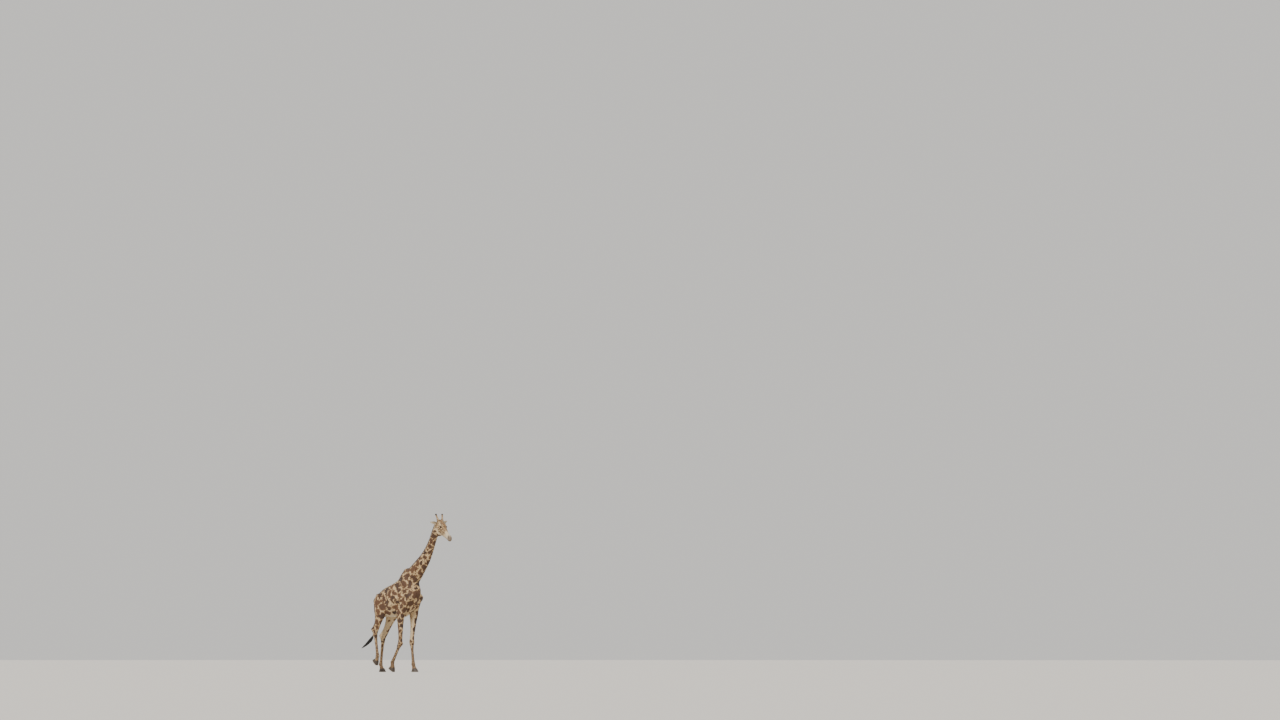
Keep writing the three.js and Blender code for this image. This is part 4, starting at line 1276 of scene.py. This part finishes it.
horn_look = horn_material()
for name, leg in LEGS.items():
    for claw_name, side in (("outer", leg["side"]), ("inner", -leg["side"])):
        rings = claw(side)
        level = np.append((rings[..., 2] / HOOF["high"] + 1).ravel(), (0, 1))
        hoof, *faces = closed_rings(rings)
        hoof = on_foot(leg, hoof)
        values = {"level": level, "root": placed(hoof)}
        node = f"hoof_{name}_{claw_name}"
        dressed(f"claw_{name}_{claw_name}", hoof, faces, values, horn_look, "hoof", node)


# ---- ears and ossicones ----------------------------------------------------------------------------------
EARS = {
    "left": {"root": (14, 82, -46), "way": (0.25, 0.88, 0.36), "length": 212, "open": (0.8, -0.35, -0.25)},
    "right": {"root": (14, -82, -50), "way": (-0.58, -0.79, 0.26), "length": 206, "open": (0.75, -0.6, 0.1)},
}


def ear_frame(side):
    ear = EARS[side]
    along = unit(np.array(ear["way"]))
    face = np.array(ear["open"])
    face = unit(face - (face @ along) * along)
    return on_head(*ear["root"]), along, face, np.cross(along, face), ear["length"]


def ear_surface(side, rows=44, half=16):
    """A leaf rolled round its own length. Across it runs an arc of half angle roll, as wide as `wide`, which
    closes to a funnel at the root; its two faces lie `thick` apart and meet at the rim."""
    root, along, face, across, length = ear_frame(side)
    t = np.linspace(-0.1, 1, rows)[:, None]
    q = np.linspace(-1, 1, half + 1)
    q = np.concatenate((q, q[-2:0:-1]))[None, :]
    front = np.concatenate((np.ones(half + 1), -np.ones(half - 1)))[None, :]
    s = np.clip(t, 0, 1)
    wide = 2 + 43 * np.sin(math.pi * (0.17 + 0.83 * s) ** 0.86) ** 0.9 * mix(0.62, 1, smoothstep(0, 0.32, s))
    roll = mix(2.35, 0.72, s**0.5)
    radius = wide / np.sin(np.minimum(roll, math.pi / 2))
    edge = front * np.clip(1 - q**2, 0, 1) ** 0.5
    shell = radius - mix(9, 3.5, s) * edge / 2
    deep = radius * (1 + np.cos(roll)) / 2 - shell * np.cos(q * roll) + 4 * np.sin(7 * t) * q - 14 * t**2
    place = (
        root
        + (t * length)[..., None] * along
        + (shell * np.sin(q * roll))[..., None] * across
        + deep[..., None] * face
    )
    return place, *(np.broadcast_to(v, place.shape[:2]) for v in (edge, s, q))


# Share of the length, and radius of the skin there; the hair makes up the rest.
OSSICONE_OUTLINE = [(0, 37), (0.1, 36), (0.22, 32), (0.36, 25.5), (0.55, 21.5), (0.75, 20.5), (0.86, 23),
                    (0.93, 22), (0.975, 16), (0.995, 7)]


def ossicone_surface(side, around=26):
    """Rings of the outline's radius round a leaning axis, with each point's share of the length."""
    root, along = ossicone_frame(side)
    line, _ = curve_through([(t, r, 0, 0) for t, r in OSSICONE_OUTLINE], 46)
    rings = rope(root + line[:, :1] * OSSICONE["length"] * along, line[:, 1], around)
    return rings, np.broadcast_to(line[:, :1], rings.shape[:2])


# ---- tufts -----------------------------------------------------------------------------------------------
LEG_TOP, MIDDLE = 1500.0, 20.0  # the height where a leg ends, and the place between fore and hind legs


def unwrapped(p):
    """Place on a flat sheet cut from the skin: trunk, neck and head fill its lower part, along the body and
    round it, and each leg has a column of its own above."""
    head, neck, leg, along, q = regions(p)
    spine = mix(mix(p[:, 0], 780 + along, neck), 2900 + q[:, 0], head)
    round_trunk = np.arctan2(p[:, 1], p[:, 2] - 2100)
    up_neck = (p - NECK_ROOT) @ np.array((-math.sin(NECK_SLOPE), 0, math.cos(NECK_SLOPE)))
    round_neck = np.arctan2(p[:, 1] + 10, up_neck + 60)
    round_head = np.arctan2(q[:, 1], q[:, 2] + 40)
    angle = mix(mix(round_trunk, round_neck, neck), round_head, head) / (2 * math.pi) + 0.5
    body = np.stack((0.01 + 0.98 * np.clip((spine + 1250) / 5000, 0, 1), 0.01 + 0.58 * angle), axis=1)
    column = np.where(p[:, 1] > 0, 0, 1) + np.where(p[:, 0] > MIDDLE, 0, 2)
    middle = np.zeros(len(p))
    for i, name in enumerate(("fore_left", "fore_right", "hind_left", "hind_right")):
        mine = column == i
        middle[mine] = LEGS[name]["tube"].section(-p[mine, 2])[:, 0]
    turn = np.arctan2(np.abs(p[:, 1]) - 180, p[:, 0] - middle) / (2 * math.pi) + 0.5
    legs = np.stack((0.01 + 0.25 * column + 0.22 * turn, 0.61 + 0.38 * np.clip(p[:, 2] / 1800, 0, 1)), axis=1)
    return np.where(((p[:, 2] < LEG_TOP) & (p[:, 0] > -760))[:, None], legs, body)


BAKED_PATCH, BAKED_RIM = 0.003, 0.002  # width of a tuft's patch on the OFBake map, and the map's empty rim


def baked_map(piece, roots, pattern):
    """The OFBake map: each tuft is a small patch, at its root's place on the unwrapped skin."""
    layer = piece.data.uv_layers.new(name="OFBake")
    middle = np.clip(unwrapped(roots), BAKED_RIM, 1 - BAKED_RIM)
    patch_uv = middle[:, None] + np.asarray(pattern)[None] * BAKED_PATCH
    uv = patch_uv.reshape(-1, 2)
    corner = np.zeros(len(piece.data.loops), np.int32)
    piece.data.loops.foreach_get("vertex_index", corner)
    layer.data.foreach_set("uv", uv[corner].astype(np.float32).ravel())


# A tuft is a closed flat leaf of four corners: root, left, right and tip.
TUFT_FACES = np.array([(0, 2, 1), (1, 2, 3), (0, 1, 3), (0, 3, 2)])
TUFT_PATCH = [(0, -0.5), (-0.4, -0.1), (0.4, -0.1), (0, 0.5)]
TUFT_AREA = 0.12  # that a tuft covers, as a share of its length squared


def tufts(root, normal, way, length, width, lift, depth=1.5):
    """Flat leaves of hair, widest a third of the way along. The root lies `depth` under the skin, and the tip
    `lift` above it."""
    side = np.cross(way, normal)
    length, width, lift = (np.broadcast_to(v, len(root))[:, None] for v in (length, width, lift))
    at = root + 0.36 * length * way + normal * (0.6 * lift)
    tip = root + length * way + normal * lift
    return np.stack((root - normal * depth, at - side * width / 2, at + side * width / 2, tip), axis=1)


def tuft_piece(name, corners, roots, shading, values):
    """One mesh of all the tufts, with the coat's values taken from where each is rooted. A tuft is lit as the
    skin under it is, give or take its own small tilt."""
    faces = (TUFT_FACES + 4 * np.arange(len(corners))[:, None, None]).reshape(-1, 3)
    values = {key: np.repeat(value, 4, axis=0) for key, value in values.items()}
    piece = dressed(name, corners, (faces,), values, coat, "coat")
    piece.data.normals_split_custom_set_from_vertices(np.repeat(shading, 4, axis=0))
    baked_map(piece, roots, TUFT_PATCH)


def scattered(rng, points, faces, density):
    """Random places on a surface, `density` to the mm^2: corner numbers and shares of a face for each."""
    a, b, c = (points[faces[:, i]] for i in range(3))
    area = np.linalg.norm(np.cross(b - a, c - a), axis=1) / 2
    count = rng.poisson(area * density)
    face = np.repeat(np.arange(len(count)), count)
    u, v = rng.uniform(size=(2, len(face)))
    over = u + v > 1
    u, v = np.where(over, 1 - u, u), np.where(over, 1 - v, v)
    return faces[face], np.stack((1 - u - v, u, v), axis=1)


def on_skin(corners, share, values):
    """Values at places given by the corners of their faces and the share of each."""
    picked = np.asarray(values)[corners]
    return (picked * share.reshape(share.shape + (1,) * (picked.ndim - 2))).sum(1)


def coat_length(p):
    """Hair length in mm: 21 on the trunk, 17 on the neck, 8 to 16 on the legs and under 8 on the face."""
    head, neck, leg, _, q = regions(p)
    size = mix(21, 17, neck)
    size = mix(size, mix(8, 16, smoothstep(200, 1500, p[:, 2])), leg)
    return mix(size, mix(7.5, 4.8, smoothstep(250, 650, q[:, 0])), head)


def above_hoof(p):
    """1 just over the hooves, where the hair is longer and hangs over the top of the horn."""
    share = np.zeros(len(p))
    for leg in LEGS.values():
        q = p - np.array(leg["joints"][4], float)
        share += smoothstep(34, 8, -(q @ leg["down"])) * (np.linalg.norm(q, axis=1) < 170)
    return share


def tilted(rng, normal, amount):
    """Directions shaken a little, each its own way."""
    return unit(normal + rng.normal(0, amount, normal.shape))


def fur(rng):
    """Short tufts all over, thickest on what faces up, down, ahead and back: back, belly, throat and rump."""
    middle, outward = points[all_triangles].mean(1), np.abs(normals[all_triangles].mean(1))
    cover = 0.6 + 0.4 * smoothstep(0.2, 0.9, outward[:, 2]) + 0.3 * smoothstep(0.3, 0.9, outward[:, 0])
    density = FUR_COVER * cover / (TUFT_AREA * coat_length(middle) ** 2)
    corners, share = scattered(rng, points, all_triangles, density)
    root = on_skin(corners, share, points)
    normal = unit(on_skin(corners, share, normals))
    length = coat_length(root) * rng.uniform(0.7, 1.3, len(root))
    way = lie(root, normal)
    way = unit(way + rng.normal(0, 0.16, (len(root), 1)) * np.cross(way, normal))
    head, neck, leg, _, q = regions(root)
    lift = mix(mix(2.8, 2.2, leg), 1.0, head) * (0.3 + 0.9 * rng.uniform(0, 1, len(root)) ** 3)
    fringe = above_hoof(root)
    length, lift = length * (1 + 1.2 * fringe), lift + 7 * fringe
    corners_of = tufts(root, normal, way, length, length * 0.2, lift)
    shading = tilted(rng, normal, 0.09)
    values = {key: on_skin(corners, share, value) for key, value in SKIN.items()}
    rest = (head <= 0.5) & (neck <= 0.5)
    groups = {
        "head": head > 0.5,
        "neck": (head <= 0.5) & (neck > 0.5),
        "fore_legs": rest & (root[:, 2] < LEG_TOP) & (root[:, 0] > MIDDLE),
        "hind_legs": rest & (root[:, 2] < LEG_TOP) & (root[:, 0] <= MIDDLE),
        "trunk": rest & (root[:, 2] >= LEG_TOP),
    }
    across = np.where(head > 0.5, q[:, 1], root[:, 1])
    for group_name, group in groups.items():
        for side, s in SIDES.items():
            mine = group & (across * s > 0) & (values["bare"] < 0.3)
            picked = {key: value[mine] for key, value in values.items()}
            name = f"fur_{group_name}_{side}"
            tuft_piece(name, corners_of[mine], root[mine], shading[mine], picked)


fur(rng)


# The coat's values for plain buff hair.
PLAIN_HAIR = {"inside": 0.0, "patch": 0.4, "pale": 0.2, "bare": 0.0, "size": 0.08, "muzzle": 0.0, "tan": 0.0}


def coat_values(count, root, **given):
    """The coat's values for a piece that isn't the skin; what isn't given is plain buff hair."""
    values = {name: np.broadcast_to(value, count) for name, value in {**PLAIN_HAIR, **given}.items()}
    return {**values, "root": root}


def nearest_skin(p):
    """Number of the skin's point that lies nearest to each point of p."""
    centre = p.reshape(-1, 3).mean(0)
    near = np.nonzero(np.linalg.norm(points - centre, axis=1) < OSSICONE["length"])[0]
    gap = np.linalg.norm(p[..., None, :].astype(np.float32) - points[near].astype(np.float32), axis=-1)
    return near[np.argmin(gap, axis=-1)]


def haired(rng, name, rings, values, way, length, lift, cover=1.1):
    """A closed surface of rings with its own hair: way, length and lift are given at its points."""
    place, quads, fans = closed_rings(rings)

    def with_ends(v):
        """The values of all rings in one row, and those of the two end points."""
        row = v.reshape(-1, *v.shape[2:])
        return np.append(row, row[[0, -1]], axis=0)

    pad = [with_ends(v) for v in (np.broadcast_to(way, rings.shape), length, lift)]
    values = {key: with_ends(value) for key, value in values.items()}
    values = coat_values(len(place), placed(place), **values)
    dressed(name + "_skin", place, (quads, fans), values, coat, "coat", name)
    faces = triangulated(quads, fans)
    outward = grown(place, faces)
    density = cover / (TUFT_AREA * pad[1][faces].mean(1) ** 2)
    corners, share = scattered(rng, place, faces, density)
    root, normal = on_skin(corners, share, place), unit(on_skin(corners, share, outward))
    hair_way, hair_length, hair_lift = (on_skin(corners, share, v) for v in pad)
    hair_way = tilted(rng, hair_way, 0.12)
    hair_way = unit(hair_way - (hair_way * normal).sum(1, keepdims=True) * normal)
    hair_length = hair_length * rng.uniform(0.7, 1.3, len(root))
    corners_of = tufts(root, normal, hair_way, hair_length, hair_length * 0.17, hair_lift, 0.8)
    picked = {key: on_skin(corners, share, value) for key, value in values.items()}
    tuft_piece(name + "_hair", corners_of, root, tilted(rng, normal, 0.12), picked)


def ear(rng, side):
    """The back is blotched with brown along its middle, the inside is pale, with painted shade deep in its
    funnel towards the root, and long hair near the rims.
    """
    rings, edge, share, across = ear_surface(side)
    inner = edge > 0
    blotch = np.where(inner, 0.0, 0.14 * (1 - across**2) * smoothstep(0.95, 0.3, share) - 0.02)
    values = {"inside": blotch, "pale": np.where(inner, 0.9, 0.1), "tan": np.where(inner, 0.0, 0.5)}
    # painted shade deep in the ear's funnel: darker towards the root and away from the rims
    values["bare"] = np.where(inner, 0.30 * smoothstep(0.8, 0.1, share) * (np.abs(across) < 0.6), 0.0)
    near_rim = smoothstep(0.4, 0.9, np.abs(across)) * smoothstep(0.95, 0.6, share)
    length = np.where(inner, mix(11, 26, near_rim), mix(9, 7, share))
    lift = np.where(inner, mix(2, 9, near_rim), 1.2)
    _, along, face, sideways, _ = ear_frame(side)
    inward = -np.sign(across)[..., None] * sideways * (inner * near_rim)[..., None]
    haired(rng, "ear_" + side, rings, values, unit(along + 1.1 * inward), length, lift)


def ossicone(rng, side):
    """Buff hair up the horn, darker towards the knob, which has a ring of short black hair. At the foot the
    markings of the head run on and fade out."""
    rings, share = ossicone_surface(side)
    _, along = ossicone_frame(side)
    top = smoothstep(0.80, 0.88, share)
    foot = smoothstep(0.44, 0.2, share)
    nearest = nearest_skin(rings)
    own = {"inside": 0.09 * smoothstep(0.66, 0.8, share), "tan": smoothstep(0.0, 0.7, share), "pale": 0.0}
    own = {**PLAIN_HAIR, **own, "bare": 0.96 * top}
    values = {key: mix(value, SKIN[key][nearest], foot) for key, value in own.items()}
    haired(rng, "ossicone_" + side, rings, values, along, mix(9, 13, top), mix(1.2, 4.5, top))


for side in SIDES:
    ear(rng, side)
    ossicone(rng, side)


# ---- mane ------------------------------------------------------------------------------------------------
# The neck's middle line as (x, z, angle): the nape lies straight out from it at that angle.
NAPE_RAYS = [(715, 2490, 114), (811, 2543, 123), (860, 2680, 132), (900, 2915, 138), (1040, 3070, 140),
             (1165, 3225, 142), (1270, 3370, 145), (1358, 3508, 148), (1436, 3645, 150), (1508, 3775, 150),
             (1572, 3890, 146), (1632, 3985, 138), (1697, 4071, 124), (1695, 4121, 118), (1735, 4138, 108)]


def nape_line(count=260):
    """Points along the nape on the skin, from the withers to the crown, with the way out of it. Each is found
    on its ray by halving."""
    line, _ = curve_through([(x, 0, z, a) for x, z, a in NAPE_RAYS], count)
    angle = np.radians(line[:, 3])
    out = np.stack((np.cos(angle), 0 * angle, np.sin(angle)), axis=1)
    start = line[:, :3].copy()
    start[:, 1] = mix(0, HEAD["at"][1], smoothstep(0.5, 1, np.linspace(0, 1, count)))
    low, high = np.zeros(count), np.full(count, 700.0)
    for _ in range(20):
        half = (low + high) / 2
        within = head_field(start + half[:, None] * out) < -COAT_DEPTH
        low, high = np.where(within, half, low), np.where(within, high, half)
    return start + low[:, None] * out, out


def hair_material(name, root_code, tip_code, roughness):
    """Hair that goes from one colour at its root to another at its tip, with streaks along it."""
    material, tree = new_material(name)
    shade = blended(tree, attribute(tree, "tip"), root_code, tip_code)
    streak = noise(tree, attribute(tree, "root", "Vector"), 160.0, 3.0, 0.7)
    streaked = blended(tree, 0.6, shade, "#120b07")
    shade = blended(tree, ramp(tree, streak, 0.3, 0.75, 0.0, 0.5), shade, streaked)
    surface(tree, Base_Color=shade, Roughness=roughness, Sheen_Weight=0.1)
    return material


THIRD = 2.0944  # of a full turn, in radians


def locks(lines, radius, side_hint):
    """Three-sided spikes along lines (n, steps, 3), with radii (n, steps), each ending in a point."""
    n, steps = lines.shape[:2]
    rings_each, each = steps - 1, (steps - 1) * 3 + 1
    way = unit(np.gradient(lines, axis=1))
    side = unit(np.cross(way, side_hint))
    other = np.cross(way, side)
    turn = np.array((0, 1, 2)) * THIRD + math.pi / 2
    spokes = side[:, :, None] * np.cos(turn)[:, None] + other[:, :, None] * np.sin(turn)[:, None]
    rings = lines[:, :, None] + radius[:, :, None, None] * spokes
    corners = np.concatenate((rings[:, :-1].reshape(n, -1, 3), lines[:, -1:]), axis=1)
    last = each - 4 + np.arange(3)
    tip = np.stack((last, np.roll(last, -1), np.full(3, each - 1)), axis=1)
    base = each * np.arange(n)[:, None, None]
    quads = (ring_quads(rings_each, 3) + base).reshape(-1, 4)
    triangles = (np.concatenate((tip, [(2, 1, 0)])) + base).reshape(-1, 3)
    share = np.append(np.repeat(np.linspace(0, 1, steps)[:-1], 3), 1.0)
    return corners, quads, triangles, share


def lock_piece(name, lines, radius, side_hint, material, slot, *nodes):
    """One mesh of all the locks. The baked patch of a lock is a disc with its corners round the rim."""
    corners, *faces, share = locks(lines, radius, side_hint)
    n, each = corners.shape[:2]
    values = {"tip": np.tile(share, n), "root": np.repeat(placed(lines[:, 0]), each, axis=0)}
    piece = dressed(name, corners, faces, values, material, slot, *nodes)
    turn = np.linspace(0, 2 * math.pi, each)
    baked_map(piece, lines[:, 0], np.stack((0.5 * np.cos(turn), 0.5 * np.sin(turn)), axis=1))


def core_piece(name, rings, tip, material, slot, *nodes):
    """The solid middle of a body of hair, in the colour of the hair's roots (tip 0) or tips (1)."""
    place, *faces = closed_rings(rings)
    values = {"tip": np.full(len(place), tip), "root": placed(place)}
    dressed(name, place, faces, values, material, slot, *nodes)


def mane(rng):
    """Stiff hair 50 mm high on the nape, leaning back a little, over a thin solid ridge."""
    nape, out = nape_line()
    back = unit(np.gradient(nape, axis=0)) * -1
    across = np.cross(out, back)
    share = np.linspace(0, 1, len(nape))
    high = 52 * np.minimum(1, np.minimum(0.06 + 3.2 * share, 0.45 + 4 * (1 - share)))
    profile = [(1, -8), (0.8, 0.3), (0.35, 0.72), (-0.35, 0.72), (-0.8, 0.3), (-1, -8)]
    rings = [nape + out * (y if y < 0 else y * high[:, None]) + across * 9 * x for x, y in profile]
    hair = hair_material("stiff_brown_mane", "#7a4c2a", "#41281a", 0.62)
    core_piece("mane_ridge", np.stack(rings, axis=1)[:, ::-1], 0, hair, "mane", "mane")

    count = 5200
    at = rng.uniform(0, len(nape) - 1.001, count)
    i, f = at.astype(int), (at % 1)[:, None]
    spot, up, rear, side = (mix(v[i], v[i + 1], f) for v in (nape, out, back, across))
    wide = rng.uniform(-1, 1, count)[:, None]
    tall = (high[i] * rng.uniform(0.82, 1.06, count))[:, None]
    root = spot + side * wide * 11 - up * (4 + 3 * wide**2)
    way = up + rear * rng.uniform(0.02, 0.30, (count, 1))
    way = unit(way + side * (0.10 * wide + rng.normal(0, 0.04, (count, 1))))
    t = np.linspace(0, 1, 4)[None, :, None]
    curve = side * wide * -5
    lines = root[:, None] + way[:, None] * (tall + 6)[:, None] * t + curve[:, None] * t**2
    radius = np.array((1.9, 2.2, 1.4, 0))[None] * rng.uniform(0.8, 1.2, (count, 1))
    lock_piece("mane_hair", lines, radius, (0.1, 0.9, 0.1), hair, "mane")


mane(rng)


# ---- tail tuft -------------------------------------------------------------------------------------------
def tail_tuft(rng):
    """Long black locks round the tail's line. Each keeps its share of the tuft's radius, and waves a bit."""
    half = 250  # the hair grows on the second half of the line
    line, way = curve_through(TAIL, 2 * half + 1)
    side = unit(np.cross(way, TAIL_HINT))
    other = np.cross(way, side)
    count, steps = 620, 16
    start = half + half * rng.uniform(-0.05, 0.5, count)
    end = half + half * (1 - 0.55 * rng.uniform(0, 1, count) ** 1.6)
    at = start[:, None] + (end - start)[:, None] * np.linspace(0, 1, steps)[None]
    i = np.clip(at.astype(int), 0, 2 * half)
    spin, out = rng.uniform(0, 2 * math.pi, (count, 1)), rng.uniform(0, 1, (count, 1)) ** 0.5
    t = np.linspace(0, 1, steps)[None]
    spread_out = np.minimum(1, 0.25 + t * 3)
    radius = np.maximum(line[i, 3] - 5, 3) * out * spread_out * 0.93
    radius = radius + 5 * np.sin(t * rng.uniform(5, 12, (count, 1)) + 3 * spin) * t
    across, along = radius * np.cos(spin), radius * np.sin(spin)
    lines = line[i, :3] + across[..., None] * side[i] + along[..., None] * other[i]
    thick = 4.2 * np.minimum(1, 0.5 + 2 * t) * (1 - t**3) * rng.uniform(0.7, 1.2, (count, 1))
    hair = hair_material("long_black_tail_hair", "#1d1511", "#100c0a", 0.45)
    lock_piece("tail_hair", lines, thick, (0.2, 0.9, 0.3), hair, "tail_tuft", "tail_tuft")
    core, _ = curve_through(TAIL[5:10], 40)
    core_piece("tail_hair_core", rope(core[:, :3], core[:, 3] * 0.55, 12), 1, hair, "tail_tuft")


tail_tuft(rng)


# ---- eyelashes -------------------------------------------------------------------------------------------
def lashes(rng):
    """Stiff dark lashes. They leave the lids outward and fan out, and the upper ones droop to their tips."""
    lines = []
    for side in SIDES:
        _, ahead, up, out = eye_frame(SIDES[side])
        for first, last, count, length, rise, droop in (
            (0.1, 0.9, 130, 25, 0.5, 0.5),  # upper lid
            (1.15, 1.85, 50, 12, -0.5, -0.1),  # lower lid
        ):
            a = math.pi * np.sort(rng.uniform(first, last, count))
            root = lid_line(side, a)
            way = unit(out + rise * up - 0.55 * np.cos(a)[:, None] * ahead + rng.normal(0, 0.05, (count, 3)))
            t = np.linspace(0, 1, 6)[None, :, None]
            reach = (length * rng.uniform(0.75, 1.1, count))[:, None, None]
            lines.append(root[:, None] + reach * (t * way[:, None] - droop * t**2 * up))
    lines = np.concatenate(lines)
    radius = np.broadcast_to(0.6 * (1 - np.linspace(0, 1, 6) ** 2), lines.shape[:2])
    hair = hair_material("stiff_dark_lashes", "#17110e", "#17110e", 0.5)
    lock_piece("eyelashes", lines, radius, (0.1, 0.2, 0.9), hair, "coat")


lashes(rng)


# ---- floor, light and camera -----------------------------------------------------------------------------
def plain_material(name, code, roughness):
    material, tree = new_material(name)
    surface(tree, Base_Color=colour(code), Roughness=roughness)
    return material


FLOOR_CORNERS = np.array([(-1, -1, 0), (1, -1, 0), (1, 1, 0), (-1, 1, 0)]) * 600.0
floor = mesh_object("floor", FLOOR_CORNERS, np.array([[0, 1, 2, 3]]))
floor.data.materials.append(plain_material("pale_studio_floor", "#cfcac2", 0.9))

world = bpy.data.worlds.new("studio")
bpy.context.scene.world = world
world.use_nodes = True
background = world.node_tree.nodes["Background"]
background.inputs["Color"].default_value = colour("#e6e4e0")
background.inputs["Strength"].default_value = 0.95


def sun(name, energy, softness, azimuth, elevation):
    """A far light from that side, seen from above as `azimuth` degrees from -Y towards +X."""
    lamp = bpy.data.lights.new(name, "SUN")
    lamp.energy, lamp.angle = energy, math.radians(softness)
    made = bpy.data.objects.new(name, lamp)
    a, e = math.radians(azimuth), math.radians(elevation)
    from_there = Vector((math.sin(a) * math.cos(e), -math.cos(a) * math.cos(e), math.sin(e)))
    made.rotation_euler = from_there.to_track_quat("Z", "Y").to_euler()
    bpy.context.scene.collection.objects.link(made)


sun("key", 3.2, 12, 10, 48)
sun("fill", 0.7, 40, 120, 30)

# A long lens from far off and low down. It is turned past the animal and up over it, so that the animal
# stands small at the lower left of the frame.
LENS, SENSOR = 200.0, 36.0
DISTANCE, EYE_LEVEL = 205.5, 0.4335
AZIMUTH, TURN, RISE = math.radians(45), math.radians(1.86056), math.radians(2.39160)
camera_data = bpy.data.cameras.new("camera")
camera_data.lens, camera_data.sensor_width = LENS, SENSOR
camera_data.clip_start, camera_data.clip_end = 1.0, 3000.0
camera = bpy.data.objects.new("camera", camera_data)
camera.location = (DISTANCE * math.sin(AZIMUTH), -DISTANCE * math.cos(AZIMUTH), EYE_LEVEL)
camera.rotation_euler = (math.pi / 2 + RISE, 0, AZIMUTH - TURN)
bpy.context.scene.collection.objects.link(camera)
bpy.context.scene.camera = camera
